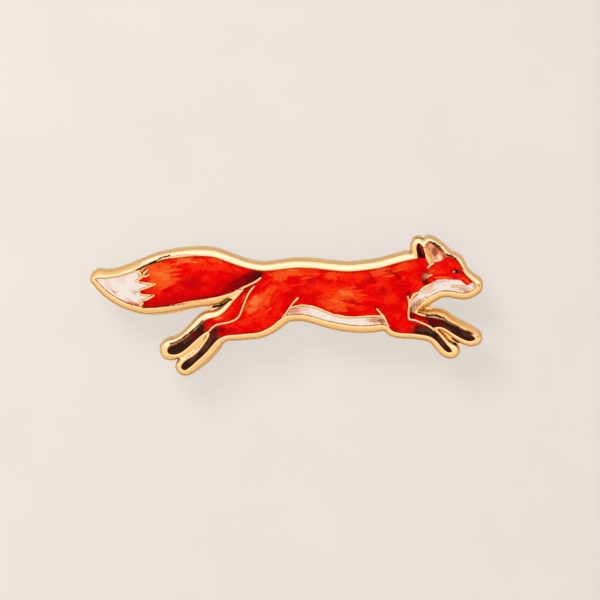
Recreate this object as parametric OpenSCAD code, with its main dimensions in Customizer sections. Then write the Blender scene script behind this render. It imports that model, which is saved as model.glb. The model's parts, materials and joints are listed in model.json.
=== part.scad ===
// Running fox brooch: a gilt metal body with a raised rim and raised lines,
// painted enamel laid in its pockets, and a bar pin behind it.
// X runs from the tail to the nose, Y from the paws to the ears, Z out of the
// face. The brooch lies on its back, on the two feet of its bar pin.

/* [Picture] */
// Length of the enamelled picture, from the tail's white tip to the nose
picture_l = 52.9; // [46:0.1:62]
// Height of the enamelled picture, from the near hind paw to the near ear
picture_h = 18.5; // [16:0.1:22]

/* [Metal] */
// Height of the rim's crest above the flat back
metal_t = 1.75; // [1.5:0.05:2.4]
// Height of the pockets' floor above the flat back
floor_t = 1.0; // [0.7:0.05:1.1]
// Width of the raised rim where it is plain
rim_w = 1.05; // [0.85:0.05:1.3]
// Width of a raised line between the colours
line_w = 0.3; // [0.24:0.02:0.4]
// Height of the raised lines above the enamel
line_rise = 0.12; // [0.05:0.01:0.2]

/* [Enamel] */
// Thickness of the enamel
enamel_t = 0.42; // [0.3:0.02:0.45]
// Clearance between the enamel and the metal round it and under it
fit_gap = 0.02; // [0.01:0.005:0.04]
// Clearance where two colours meet without a line between them
seam_w = 0.04; // [0.02:0.01:0.06]

/* [Bar pin] */
// Distance from the flat back to the surface that the brooch lies on
stand_h = 4.2; // [3.6:0.1:5.5]
// Length of the bar over its two feet
bar_l = 23; // [20:0.5:24]
// Width of the bar
bar_w = 4.2; // [3.6:0.1:4.6]
// Thickness of the bar
bar_t = 0.7; // [0.5:0.05:1]
// Length of each foot along the bar
foot_l = 3.2; // [2.6:0.1:4]
// Diameter of the needle
needle_d = 0.9; // [0.7:0.05:1.1]
// Place of the bar's middle on the picture, in percent of its length
bar_x = 60.2; // [58:0.2:62]
// Place of the bar's middle on the picture, in percent of its height
bar_y = 56; // [50:0.5:60]

/* [Hidden] */

// Longest step along the picture's edge and along a raised line, and the most
// that a curve turns in one step, in degrees
edge_step = 1.1;
line_step = 0.8;
turn_step = 15;
// How far a rim may pass the middle of a narrow crotch, so that both sides fuse
rim_overlap = 0.03;
// Width of the hairline cracks in a crotch that the metal closes
crack_w = 0.02;
// How deep a tier of the rim is rooted in the one below it
tier_root = 0.1;
// How far a raised line reaches into the rim
line_tuck = 0.25;
// How deep a raised line is rooted in the floor
line_root = 0.3;
// Clearance between the bar pin and the back
solder_gap = 0.03;
// Height of the needle's axis over the surface that the brooch lies on
needle_z = 1.2;
enamel_z = floor_t + fit_gap;
line_z = enamel_z + enamel_t + line_rise;
GOLD = [0.86, 0.66, 0.38];
RED = [0.86, 0.06, 0.03];
WHITE = [0.92, 0.87, 0.80];
DARK = [0.17, 0.09, 0.06];
PINK = [0.78, 0.45, 0.36];
MAROON = [0.5, 0.04, 0.03];

// Columns of an edge row: x and y in percent of the picture, bend (1 rounds
// the curve through the point, 0 leaves a corner), and share of the rim's width.
// The rows run clockwise from the tail's tip, and each edge starts where the
// last one ends, in a narrow crotch.
UPPER_EDGE = [
    [0, 68.7, 1, 0.92], [0.6, 69.2, 1, 1.22], [2.6, 69.4, 1, 1.08],
    [5.4, 70.6, 1, 1.02], [8.2, 72.9, 1, 1.08], [11.2, 76.2, 1, 1.1],
    [14.2, 79.9, 1, 1.12], [17.4, 83.3, 1, 1.15], [20.5, 85.3, 1, 1.15],
    [24, 86.8, 1, 1.15], [27.5, 87.5, 1, 1.15], [31.2, 86.8, 1, 1.15],
    [34.2, 84, 1, 1.15], [38, 80.3, 1, 1.1], [41.4, 77.8, 1, 1.1],
    [44.2, 76.8, 1, 1.12], [48.2, 77.9, 1, 1.15], [52.5, 79.4, 1, 1.2],
    [57, 79.4, 1, 1.2], [62, 78.1, 1, 1.2], [66.5, 77.3, 1, 1.2],
    [70.5, 78.4, 1, 1.2], [75, 80.5, 1, 1.2], [79, 84, 1, 1.2],
    [82.2, 86.6, 1, 1.2], [84.9, 88.3, 0.1, 1.05], [84.7, 93, 1, 0.98],
    [84.55, 97.2, 1, 0.98], [84.95, 99.7, 1, 0.92], [85.7, 98, 1, 0.8],
    [86.2, 96.3, 0, 0.6]];
HEAD_EDGE = [
    [86.9, 96.3, 0, 0.6], [87, 98.6, 1, 0.8], [87.45, 100.3, 1, 0.85],
    [88.6, 99.4, 1, 0.82], [89.8, 97.4, 1, 0.78], [91, 94.7, 1, 0.78],
    [91.8, 92.2, 1, 0.78], [92.6, 90.1, 0.8, 0.78], [93.9, 88.8, 1, 0.76],
    [95.1, 86.7, 1, 0.74], [95.9, 83.6, 1, 0.72], [96.4, 80.2, 1, 0.72],
    [97, 77.3, 1, 0.74], [98, 74.3, 1, 0.78], [99.1, 71.3, 1, 0.88],
    [99.9, 68.9, 1, 0.98], [99.9, 66.6, 1, 1.02], [99.1, 64.6, 1, 1.02],
    [98, 63.1, 1, 1.06], [96.4, 62.5, 1, 1.06], [94.6, 63.4, 1, 1.1],
    [92.6, 64.1, 1, 1.05], [90.6, 63.3, 1, 1.05], [88.8, 60.9, 1, 1.08],
    [87.2, 58, 1, 1.08], [86, 55, 1, 0.9], [84.9, 51.3, 1, 0.75],
    [83.6, 46.8, 0, 0.8]];
FAR_FORELEG_EDGE = [
    [85.3, 44.5, 1, 0.7], [87.4, 43.2, 1, 0.98], [89.6, 42.3, 1, 1.22],
    [91.4, 41.2, 1, 1.15], [93.2, 38.5, 1, 1], [95.2, 35.7, 1, 0.92],
    [97.2, 32.9, 1, 0.94], [98.9, 29.8, 1, 1], [99.9, 27.2, 1, 1.06],
    [98.8, 25.9, 1, 1], [97.2, 26.9, 1, 0.88], [95.4, 29.4, 1, 0.74],
    [93.6, 32.7, 1, 0.66], [91.8, 35.7, 1, 0.6], [90.3, 36.6, 1, 0.56],
    [89, 35.6, 0, 0.5]];
NEAR_FORELEG_EDGE = [
    [89.2, 33.2, 1, 0.5], [90.2, 30.4, 1, 0.55], [91.3, 26.7, 1, 0.62],
    [92.5, 22.4, 1, 0.7], [93.5, 19.1, 1, 1.02], [93.8, 17.3, 1, 1.18],
    [93, 17, 1, 1.08], [91.9, 19.1, 1, 1.04], [90.7, 23, 1, 1.02],
    [89.4, 26.8, 1, 0.96], [87.9, 29.1, 1, 0.96], [85.6, 30.3, 1, 0.96],
    [82.6, 31.1, 1, 0.96], [79.9, 31.4, 1, 0.96], [78.4, 32.7, 1, 1.02],
    [77.1, 35.9, 1, 1.14], [75.6, 37.3, 1, 1.14], [73.2, 36.5, 1, 1.18],
    [70, 36, 1, 1.23], [66.6, 36.6, 1, 1.22], [63, 38.2, 1, 1.18],
    [60, 40.2, 1, 1.13], [57.4, 42.4, 1, 1.12], [55, 43.8, 1, 1.1],
    [52.4, 43.9, 1, 1.1], [50, 42.9, 1, 1.18], [48.4, 39.9, 1, 1.22],
    [46.8, 35.9, 1, 1.16], [45, 32.5, 1, 1.12], [42.8, 29.9, 1, 1.1],
    [40, 28.9, 1, 1.08], [37, 27.9, 1, 1.08], [34.4, 27, 1, 1],
    [32.8, 25.3, 1, 1.06], [31.4, 21.9, 1, 1.22], [29.7, 16, 1, 1.32],
    [27.9, 10.5, 1, 1.32], [26, 5.6, 1, 1.25], [24.3, 1.2, 1, 1.12],
    [23.2, -0.5, 1, 1], [22.5, 1.2, 1, 0.95], [22.9, 4.1, 1, 0.86],
    [23.9, 6.8, 1, 0.74], [25.4, 9.5, 1, 0.82], [27, 13.3, 1, 0.82],
    [28.3, 18, 1, 0.78], [29.4, 22.6, 1, 0.68], [30.1, 27.2, 1, 0.5],
    [29.8, 30.8, 0, 0.5]];
FAR_HIND_LEG_EDGE = [
    [28.6, 28.8, 1, 0.56], [27.1, 25.3, 1, 0.76], [25.5, 21.1, 1, 0.82],
    [23.8, 16.5, 1, 0.84], [22, 12.9, 1, 0.86], [20.2, 11.6, 1, 1],
    [19.1, 12.4, 1, 1.2], [18.9, 14.9, 1, 1.22], [19.7, 17.6, 1, 1.1],
    [21.2, 19.3, 1, 1], [23, 22.4, 1, 0.95], [25, 27.1, 1, 1.04],
    [26.8, 31.7, 1, 1.12], [28.3, 36.3, 1, 1.14], [29.7, 39, 1, 1.1],
    [31.8, 40.6, 1, 1], [33.3, 43, 1, 0.92], [34.9, 47.5, 1, 0.84],
    [36.4, 52.7, 1, 0.76], [37.9, 57.6, 1, 0.7], [39.3, 62.5, 0, 0.7]];
UNDER_TAIL_EDGE = [
    [37.9, 62.9, 1, 0.8], [36.2, 60.8, 1, 0.96], [34, 58.6, 1, 1.12],
    [31.4, 56.6, 1, 1.28], [28, 54.9, 1, 1.3], [24, 52.9, 1, 1.36],
    [20, 50.2, 1, 1.44], [16, 48.3, 1, 1.34], [12.6, 47.9, 1, 1.2],
    [9.6, 49.6, 1, 1.1], [6.8, 52.6, 1, 1.08], [4, 57.3, 1, 1.02],
    [2, 62, 1, 0.98], [0.5, 66.6, 1, 0.9]];
EDGES = [UPPER_EDGE, HEAD_EDGE, FAR_FORELEG_EDGE, NEAR_FORELEG_EDGE,
    FAR_HIND_LEG_EDGE, UNDER_TAIL_EDGE];

// Columns of the rim's tiers: share of its width, counted from the enamel
// outwards, and share of the metal's height.
TIERS = [[1, 0.4], [0.92, 0.76], [0.8, 0.88], [0.62, 0.96], [0.42, 1]];

// Columns of a raised line's row: x and y in percent of the picture, bend, and
// share of the line's width.
TAIL_LINE = [[37, 61.2, 1, 1], [39, 64, 1, 1.1], [41, 66.9, 1, 1.1],
    [42.4, 69, 1, 1.1], [43.5, 71.6, 1, 1]];
HIND_LINE = [[41.9, 65.2, 1, 0.7], [41, 62.2, 1, 1], [40, 57.6, 1, 1],
    [39.3, 52.6, 1, 1], [38.6, 47.2, 1, 1], [37.9, 42.2, 1, 1],
    [36.9, 39.2, 1, 1], [35.2, 37.1, 1, 1], [33.2, 35.8, 1, 1],
    [31.7, 34.6, 1, 1], [30.6, 32.4, 1, 1.1], [29.8, 29.6, 1, 1.1]];
THIGH_LINE = [[53.3, 56.5, 1, 1.1], [52.2, 53, 1, 1], [51.3, 49.4, 1, 1],
    [50.5, 45.8, 1, 1], [49.4, 41.6, 1, 1.1]];
BELLY_LINE = [[51.3, 48.6, 1, 0.9], [52.6, 50, 1, 0.9], [54.3, 50.9, 1, 1],
    [56.4, 50.5, 1, 1], [58.6, 48.9, 1, 1], [61, 46.1, 1, 1],
    [63, 43.9, 1, 1.1], [64.3, 43.2, 1, 1.5], [65.8, 42.6, 1, 1.1],
    [68.5, 42.5, 1, 1], [71.5, 43.2, 1, 1], [74, 43.7, 1, 1],
    [75.9, 43.2, 1, 1]];
ELBOW_LINE = [[74.1, 49.3, 1, 0.9], [75.1, 46, 1, 1], [76, 42.9, 1, 1.1],
    [76.6, 39.2, 1, 1.1], [77.2, 35.2, 1, 1.3]];
CHEST_LINE = [[82.2, 59.1, 1, 0.9], [82.6, 55.4, 1, 1], [82.6, 51.4, 1, 1],
    [82.45, 46.2, 1, 1], [82.6, 41.6, 0, 1], [84.4, 40.6, 1, 1],
    [86.2, 38.6, 1, 1], [87.9, 36.4, 1, 1.1], [89.2, 33.6, 1, 1.1]];
BIB_LINE = [[82.6, 54.2, 1, 0.9], [83.2, 57.6, 1, 0.9], [83.8, 60.4, 1, 1.4],
    [84.8, 62.2, 1, 0.9]];
TUFT_LINE = [[85.7, 64, 1, 1.5], [86.7, 66.4, 1, 1.4], [87.6, 67.8, 1, 1.1],
    [88.5, 68.9, 1, 1.1]];
CHEEK_LINE = [[86.5, 73, 1, 1.1], [87.3, 74.6, 1, 1.3], [88.5, 76.2, 1, 1]];
EAR_LINE = [[86.55, 98, 1, 2.2], [86.7, 95.2, 1, 1.5], [86.95, 92.2, 1, 1.2],
    [87.3, 89.4, 1, 1.7], [87.7, 86.9, 1, 2], [88, 84.4, 1, 1.1]];
EAR_TICK = [[87.4, 81.4, 1, 0.9], [88, 83.2, 1, 1], [88.8, 84.8, 1, 0.9]];
MOUTH_LINE = [[93.9, 67.4, 1, 0.9], [95.9, 67.3, 1, 0.9], [97.3, 66.4, 1, 0.9],
    [98.7, 64.5, 1, 1], [99.5, 63.2, 1, 1.2]];
ZIGZAG_LINE = [[11, 76.8, 1, 1.3], [11.6, 73.4, 1, 1.6], [12.2, 71.1, 1, 1.2],
    [11.4, 69.2, 1, 1], [10.6, 67.7, 0, 1], [12.4, 66.5, 1, 1],
    [15.6, 65.6, 0, 1], [13.6, 62.9, 1, 1], [11.2, 60.4, 0, 1],
    [11.8, 57.7, 1, 1], [13.4, 57, 1, 1], [15.3, 56.8, 0, 1],
    [13.6, 53.8, 1, 1], [11.5, 52.3, 0, 1], [12.3, 50.4, 0, 1],
    [11.5, 48.9, 0, 1], [12.5, 46.8, 1, 1.2]];
TIP_TUFT = [[12.4, 71.4, 1, 1], [12.8, 74, 1, 1.1], [13.8, 76.5, 1, 0.8]];
TIP_CURL = [[12.4, 71.2, 1, 0.9], [13.5, 71.7, 1, 0.9], [14.1, 73.2, 1, 0.9]];
CHEST_TICK = [[84.4, 51.6, 1, 0.8], [84.9, 53.8, 1, 0.9], [85.4, 56.1, 1, 0.8]];
THROAT_TICK = [[86.3, 56.6, 1, 0.9], [87, 58.5, 1, 0.8]];
LINES = [TAIL_LINE, HIND_LINE, THIGH_LINE, BELLY_LINE, ELBOW_LINE, CHEST_LINE,
    BIB_LINE, TUFT_LINE, CHEEK_LINE, EAR_LINE, EAR_TICK, MOUTH_LINE,
    ZIGZAG_LINE, TIP_TUFT, TIP_CURL, CHEST_TICK, THROAT_TICK];

// Columns of a colour field's row: x and y in percent of the picture, and bend.
// A field is the part of the picture inside its rows, and the red coat is what
// the other fields leave.
TAIL_TIP_FIELD = [[-4, 90, 0], each [for (row = ZIGZAG_LINE) row], [-4, 40, 0]];
BELLY_FIELD = [[49.4, 41, 0], [51.2, 48.6, 1], [52.6, 50, 1], [54.3, 50.9, 1],
    [56.4, 50.5, 1], [58.6, 48.9, 1], [61, 46.1, 1], [64.3, 43.2, 1],
    [68.5, 42.5, 1], [71.5, 43.2, 1], [74, 43.7, 1], [75.8, 43.2, 0],
    [76.6, 39.2, 1], [77.2, 34, 0], [62, 32, 0]];
BIB_FIELD = [[83, 45, 0], [82.7, 54.4, 1], [83.3, 57.8, 1], [83.8, 60.4, 1],
    [85.3, 63.2, 1], [86.7, 66.4, 1], [88.4, 69, 1], [88.8, 71.4, 1],
    [90.4, 72.8, 1], [92.6, 73, 1], [94.4, 72.3, 1], [96, 72, 1],
    [97, 69.8, 1], [98, 68, 1], [98.7, 69.6, 1], [99.4, 70.2, 1], [104, 72, 0],
    [100, 56, 0], [84, 44, 0]];
NEAR_EAR_FIELD = [[87.2, 103, 0], [86.9, 93, 1], [87.4, 88.6, 1],
    [88.2, 84.5, 0.6], [89, 84.2, 1], [90, 85.6, 1], [91, 86.6, 1],
    [91.8, 88.8, 1], [94, 92, 0], [92, 104, 0]];
FAR_EAR_FIELD = [[84, 88.8, 0], [85.4, 88.7, 1], [86.9, 89.3, 1],
    [86.7, 94.4, 0], [86.7, 103, 0], [83.6, 103, 0]];
EYE_FIELD = [[93.5, 78.5, 1], [94, 79.7, 1], [95, 79.9, 1], [96.1, 79.6, 1],
    [96, 78.1, 1], [94.8, 77.2, 1], [93.9, 77.3, 1]];
FAR_HIND_PAW_FIELD = [[27.7, 36.6, 0], [28.2, 33.4, 1], [28, 29.9, 1],
    [28.8, 27, 0], [20, 6, 0], [14, 16, 0], [22, 30, 0]];
NEAR_HIND_PAW_FIELD = [[30.7, 33, 0], [31.6, 31.5, 1], [31.9, 27, 1],
    [31.6, 22.4, 1], [32.4, 19, 0], [24, -6, 0], [20, 2, 0], [29.8, 29.8, 0]];
FAR_FORELEG_FIELD = [[82.7, 47.4, 0], [92, 50, 0], [104, 34, 0], [102, 22, 0],
    [89.2, 33.6, 0], [87.9, 36.4, 1], [86.2, 38.6, 1], [84.4, 40.6, 1],
    [82.6, 41.6, 0]];
FAR_FORE_PAW_FIELD = [[88, 46, 0], [87.4, 41.6, 1], [87.9, 38.8, 1],
    [88.2, 35, 0], [102, 20, 0], [104, 36, 0]];
NEAR_FORE_PAW_FIELD = [[88.6, 34.6, 0], [86.2, 35.2, 1], [84.5, 34.8, 1],
    [84.1, 32.8, 1], [84.4, 28, 0], [93, 13, 0], [97, 18, 0], [89.6, 34, 0]];
FIELDS = [TAIL_TIP_FIELD, BELLY_FIELD, BIB_FIELD, NEAR_EAR_FIELD, FAR_EAR_FIELD,
    EYE_FIELD, FAR_HIND_PAW_FIELD, NEAR_HIND_PAW_FIELD, FAR_FORELEG_FIELD,
    NEAR_FORE_PAW_FIELD];

function place(row) = [row[0] * picture_l / 100, row[1] * picture_h / 100];
function turned_left(v) = [-v[1], v[0]] / norm(v);

// Direction of the curve at p, between its neighbours a and b, for a bend of 1
function lead(a, p, b) =
    let (before = norm(p - a), after = norm(b - p))
    ((p - a) * after / before + (b - p) * before / after) / (before + after);

// Angle between two directions, or none at a corner
function turn(u, v) = norm(u) * norm(v) > 0 ? atan2(abs(cross(u, v)), u * v) : 0;

// Points from p to q, without q, that leave p along u and reach q along v
function span(p, q, u, v, from, to, step) =
    let (length = norm(q - p))
    let (steps = max(1, ceil(length / step), ceil(turn(u, v) / turn_step)))
    [for (k = [0 : steps - 1])
        let (t = k / steps, s = 1 - t)
        [each p * (s * s * (1 + 2 * t)) + q * (t * t * (1 + 2 * s))
            + length * (u * (s * s * t) - v * (t * t * s)),
            from * s + to * t]];

// Curve through the rows as [x, y, share], one list for each row, round to its
// start, and an open one as a single list
function ring_spans(rows, step) =
    let (n = len(rows), p = [for (row = rows) place(row)])
    let (leads = [for (i = [0 : n - 1])
        rows[i][2] * lead(p[(i + n - 1) % n], p[i], p[(i + 1) % n])])
    [for (i = [0 : n - 1])
        let (j = (i + 1) % n)
        span(p[i], p[j], leads[i], leads[j], rows[i][3], rows[j][3], step)];
function path(rows, step) =
    let (n = len(rows), p = [for (row = rows) place(row)])
    let (leads = [for (i = [0 : n - 1])
        i == 0 ? (p[1] - p[0]) / norm(p[1] - p[0])
        : i == n - 1 ? (p[i] - p[i - 1]) / norm(p[i] - p[i - 1])
        : rows[i][2] * lead(p[i - 1], p[i], p[i + 1])])
    [for (i = [0 : n - 2])
        each span(p[i], p[i + 1], leads[i], leads[i + 1], rows[i][3],
            rows[i + 1][3], step),
        [each p[n - 1], rows[n - 1][3]]];
function flat(points) = [for (q = points) [q[0], q[1]]];

// Unit vectors square to a curve, out of the picture on the clockwise edge
function squares(points, closed) =
    let (n = len(points))
    [for (i = [0 : n - 1])
        let (a = points[closed ? (i + n - 1) % n : max(i - 1, 0)])
        let (b = points[closed ? (i + 1) % n : min(i + 1, n - 1)])
        turned_left([b[0] - a[0], b[1] - a[1]])];
function shifted(points, normals, by) =
    [for (i = [0 : len(points) - 1]) points[i] + by * normals[i]];

EDGE = [for (points = ring_spans([for (edge = EDGES) each edge], edge_step)) each points];
EDGE_POINTS = flat(EDGE);
EDGE_NORMALS = squares(EDGE, true);
OUTER_POINTS = [for (i = [0 : len(EDGE) - 1])
    EDGE_POINTS[i] + rim_w * EDGE[i][2] * EDGE_NORMALS[i]];
MIDDLE = [for (axis = [0, 1])
    let (along = [for (q = OUTER_POINTS) q[axis]])
    (min(along) + max(along)) / 2];
// How far the raised lines go, with its corners between the edge's points
LINE_LIMIT = [for (i = [0 : len(EDGE) - 1])
    let (j = (i + 1) % len(EDGE), tuck = line_tuck * (EDGE_NORMALS[i] + EDGE_NORMALS[j]))
    (EDGE_POINTS[i] + EDGE_POINTS[j] + tuck) / 2];
BAR_MIDDLE = place([bar_x, bar_y]) - MIDDLE;

// Radius of the largest circle that leaves the picture at edge point i and
// holds no other edge point, which is half of the room in a narrow crotch
function room(i) =
    min([picture_l, for (j = [0 : len(EDGE_POINTS) - 1])
        let (away = EDGE_POINTS[j] - EDGE_POINTS[i])
        let (ahead = away * EDGE_NORMALS[i])
        if (ahead > 0.001) away * away / (2 * ahead)]);

// Picture with its rim, out to a share of the rim's width
module metal_area(share) {
    reach = [for (i = [0 : len(EDGE) - 1]) min(rim_w * EDGE[i][2] * share, room(i) + rim_overlap)];
    rim_points = [for (i = [0 : len(EDGE) - 1]) EDGE_POINTS[i] + reach[i] * EDGE_NORMALS[i]];
    offset(delta = -crack_w) offset(delta = crack_w) {
        polygon(EDGE_POINTS);
        for (i = [0 : len(EDGE) - 1]) {
            j = (i + 1) % len(EDGE);
            polygon([EDGE_POINTS[i], EDGE_POINTS[j], rim_points[j], rim_points[i]]);
        }
    }
}

// Raised lines, out to a little way into the rim
module line_area() {
    offset(delta = -crack_w) offset(delta = crack_w) intersection() {
        polygon(LINE_LIMIT);
        strokes();
    }
}

// Rim as tiers, each one rooted in the one below it
module tiers() {
    for (k = [0 : len(TIERS) - 1]) {
        root = k == 0 ? 0 : TIERS[k - 1][1] * metal_t - tier_root;
        translate([0, 0, root]) linear_extrude(TIERS[k][1] * metal_t - root)
            metal_area(TIERS[k][0]);
    }
}

// Runs of a raised line's rows, from each corner to the next
function runs(rows) =
    let (last = len(rows) - 1)
    let (cuts = [0, each [for (i = [1 : last - 1]) if (rows[i][2] == 0) i], last])
    [for (k = [1 : len(cuts) - 1]) [for (i = [cuts[k - 1] : cuts[k]]) rows[i]]];

// One run of a raised line with round ends, wider by extra than the line is
module stroke(rows, extra) {
    points = path(rows, line_step);
    normals = squares(points, false);
    last = len(points) - 1;
    sides = [for (side = [1, -1]) [for (i = [0 : last])
        let (half = (line_w * points[i][2] + extra) / 2)
        [points[i][0], points[i][1]] + side * half * normals[i]]];
    polygon([each sides[0], for (i = [last : -1 : 0]) sides[1][i]]);
    for (row = [rows[0], rows[len(rows) - 1]])
        translate(place(row)) circle(d = line_w * row[3] + extra, $fn = 10);
}

module strokes(extra = 0) {
    for (rows = LINES, run = runs(rows)) stroke(run, extra);
}

// Border of a colour field
function border(rows) =
    let (spans = ring_spans([for (row = rows) [row[0], row[1], row[2], 1]], line_step))
    [for (points = spans) each flat(points)];

module field_area(rows) {
    polygon(border(rows));
}

// Thin clearance along a field's border
module field_seam(rows) {
    points = border(rows);
    normals = squares(points, true);
    difference() {
        polygon(shifted(points, normals, seam_w / 2));
        polygon(shifted(points, normals, -seam_w / 2));
    }
}

module picture_area() {
    polygon(shifted(EDGE_POINTS, EDGE_NORMALS, -fit_gap));
}

module enamel() {
    translate([-MIDDLE[0], -MIDDLE[1], stand_h + enamel_z])
        linear_extrude(enamel_t) offset(delta = crack_w) offset(delta = -crack_w) difference() {
            children();
            strokes(2 * fit_gap);
        }
}

module field_enamel(rows) {
    enamel() difference() {
        intersection() {
            picture_area();
            field_area(rows);
        }
        field_seam(rows);
        children();
    }
}

module base() {
    color(GOLD) translate([-MIDDLE[0], -MIDDLE[1], stand_h]) {
        difference() {
            tiers();
            translate([0, 0, floor_t]) linear_extrude(metal_t) polygon(EDGE_POINTS);
        }
        translate([0, 0, floor_t - line_root]) linear_extrude(line_z - floor_t + line_root)
            line_area();
    }
}

module coat_enamel() {
    color(RED) enamel() difference() {
        picture_area();
        for (rows = FIELDS) {
            field_area(rows);
            field_seam(rows);
        }
    }
}

module tail_tip_enamel() { color(WHITE) field_enamel(TAIL_TIP_FIELD); }
module belly_enamel() { color(WHITE) field_enamel(BELLY_FIELD); }
module bib_enamel() { color(WHITE) field_enamel(BIB_FIELD); }
module near_ear_enamel() { color(PINK) field_enamel(NEAR_EAR_FIELD); }
module far_ear_enamel() { color(DARK) field_enamel(FAR_EAR_FIELD); }
module eye_enamel() { color(DARK) field_enamel(EYE_FIELD); }
module far_hind_paw_enamel() { color(DARK) field_enamel(FAR_HIND_PAW_FIELD); }
module near_hind_paw_enamel() { color(DARK) field_enamel(NEAR_HIND_PAW_FIELD); }
module near_fore_paw_enamel() { color(DARK) field_enamel(NEAR_FORE_PAW_FIELD); }

module far_foreleg_enamel() {
    color(MAROON) field_enamel(FAR_FORELEG_FIELD) {
        field_area(FAR_FORE_PAW_FIELD);
        field_seam(FAR_FORE_PAW_FIELD);
    }
}

module far_fore_paw_enamel() {
    color(DARK) enamel() difference() {
        intersection() {
            picture_area();
            field_area(FAR_FORELEG_FIELD);
            field_area(FAR_FORE_PAW_FIELD);
        }
        field_seam(FAR_FORELEG_FIELD);
        field_seam(FAR_FORE_PAW_FIELD);
    }
}

// Bar pin as one plain piece: a strip, two feet, and the needle between them
module bar_pin() {
    top = stand_h - solder_gap;
    color(GOLD) translate(BAR_MIDDLE) {
        translate([-bar_l / 2, -bar_w / 2, top - bar_t]) cube([bar_l, bar_w, bar_t]);
        for (start = [-bar_l / 2, bar_l / 2 - foot_l])
            translate([start, -bar_w / 2, 0]) cube([foot_l, bar_w, top]);
        translate([(foot_l - bar_l) / 2, 0, needle_z]) rotate([0, 90, 0])
            cylinder(d = needle_d, h = bar_l - foot_l, $fn = 32);
    }
}

base();
coat_enamel();
tail_tip_enamel();
belly_enamel();
bib_enamel();
near_ear_enamel();
far_ear_enamel();
eye_enamel();
far_hind_paw_enamel();
near_hind_paw_enamel();
far_foreleg_enamel();
far_fore_paw_enamel();
near_fore_paw_enamel();
bar_pin();
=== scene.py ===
"""Looks of the running-fox brooch: gilt metal, painted enamel, studio light and camera.

Lengths are in millimetres, which build() turns into metres. Lights, floor and shaders use metres.
"""
import json
import math

import bmesh
import bpy
import numpy as np
from mathutils import Matrix, Vector
from mathutils.geometry import delaunay_2d_cdt
from mathutils.kdtree import KDTree


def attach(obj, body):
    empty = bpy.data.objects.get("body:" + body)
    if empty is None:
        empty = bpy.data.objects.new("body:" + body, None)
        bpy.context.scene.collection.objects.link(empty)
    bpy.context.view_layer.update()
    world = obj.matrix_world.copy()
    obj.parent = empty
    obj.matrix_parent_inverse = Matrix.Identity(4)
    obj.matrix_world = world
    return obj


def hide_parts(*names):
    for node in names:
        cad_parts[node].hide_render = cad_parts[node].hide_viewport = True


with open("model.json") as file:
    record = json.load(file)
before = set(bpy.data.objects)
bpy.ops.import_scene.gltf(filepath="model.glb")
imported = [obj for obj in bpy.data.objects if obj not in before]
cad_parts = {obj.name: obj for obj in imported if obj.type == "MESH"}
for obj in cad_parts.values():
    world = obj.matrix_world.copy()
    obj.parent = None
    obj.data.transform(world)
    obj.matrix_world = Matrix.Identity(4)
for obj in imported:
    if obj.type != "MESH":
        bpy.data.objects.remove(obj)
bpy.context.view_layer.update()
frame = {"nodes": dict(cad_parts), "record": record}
scene = bpy.context.scene
MM = 0.001
FIELDS = [n for n in sorted(frame["nodes"]) if n.endswith("_enamel")]

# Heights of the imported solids
BACK = 4.2
FLOOR = 5.2
ENAMEL_FOOT = 5.22
ENAMEL_TOP = 5.64
LINE_TOP = 5.76
CREST = 5.95

# Heights of the dressed metal
WALL_TOP = 4.9
LINE_FOOT = 5.65
SLOPE_FOOT = 5.66
WEB_TOP = 5.0
WEB_FOOT = 4.4

CAMERA_SIDE, CAMERA_LIFT = math.radians(4), math.radians(13)
CAMERA_TARGET = (1.996, 1.02, 5.64)
CAMERA_LENS = 200
CAMERA_SENSOR = 36
FRAME_WIDTH = 83.44


def placed(name, data):
    """A new object in the scene."""
    thing = bpy.data.objects.new(name, data)
    scene.collection.objects.link(thing)
    return thing


def add_camera():
    flat = math.cos(CAMERA_LIFT)
    away = Vector((math.sin(CAMERA_SIDE) * flat, math.sin(CAMERA_LIFT), math.cos(CAMERA_SIDE) * flat))
    right = Vector((math.cos(CAMERA_SIDE), 0, -math.sin(CAMERA_SIDE)))
    up = away.cross(right)
    spot = (Vector(CAMERA_TARGET) + away * (FRAME_WIDTH * CAMERA_LENS / CAMERA_SENSOR)) * MM
    data = bpy.data.cameras.new("camera")
    data.lens = CAMERA_LENS
    data.sensor_width = CAMERA_SENSOR
    data.clip_start = 0.01
    data.clip_end = 10
    camera = placed("camera", data)
    camera.matrix_world = Matrix((
        (right.x, up.x, away.x, spot.x), (right.y, up.y, away.y, spot.y),
        (right.z, up.z, away.z, spot.z), (0, 0, 0, 1)))
    scene.camera = camera


add_camera()
scene.view_settings.view_transform = "Standard"
scene.cycles.caustics_reflective = False


# Outlines

def border_edges(tris):
    """Edges with a triangle on one side only, in that triangle's own direction."""
    edges = set()
    for a, b, c in tris:
        edges.update(((a, b), (b, c), (c, a)))
    return [(a, b) for a, b in edges if (b, a) not in edges]


def chained(edges):
    """Directed edges put together as closed chains of point numbers."""
    follow = {}
    for a, b in edges:
        follow.setdefault(a, []).append(b)
    chains = []
    while follow:
        at, chain = min(follow), []
        while at in follow:
            chain.append(at)
            to = follow[at].pop()
            if not follow[at]:
                del follow[at]
            at = to
        chains.append(chain)
    return chains


def area_of(loop):
    x, y = loop[:, 0], loop[:, 1]
    return np.sum(x * np.roll(y, -1) - y * np.roll(x, -1)) / 2


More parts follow.
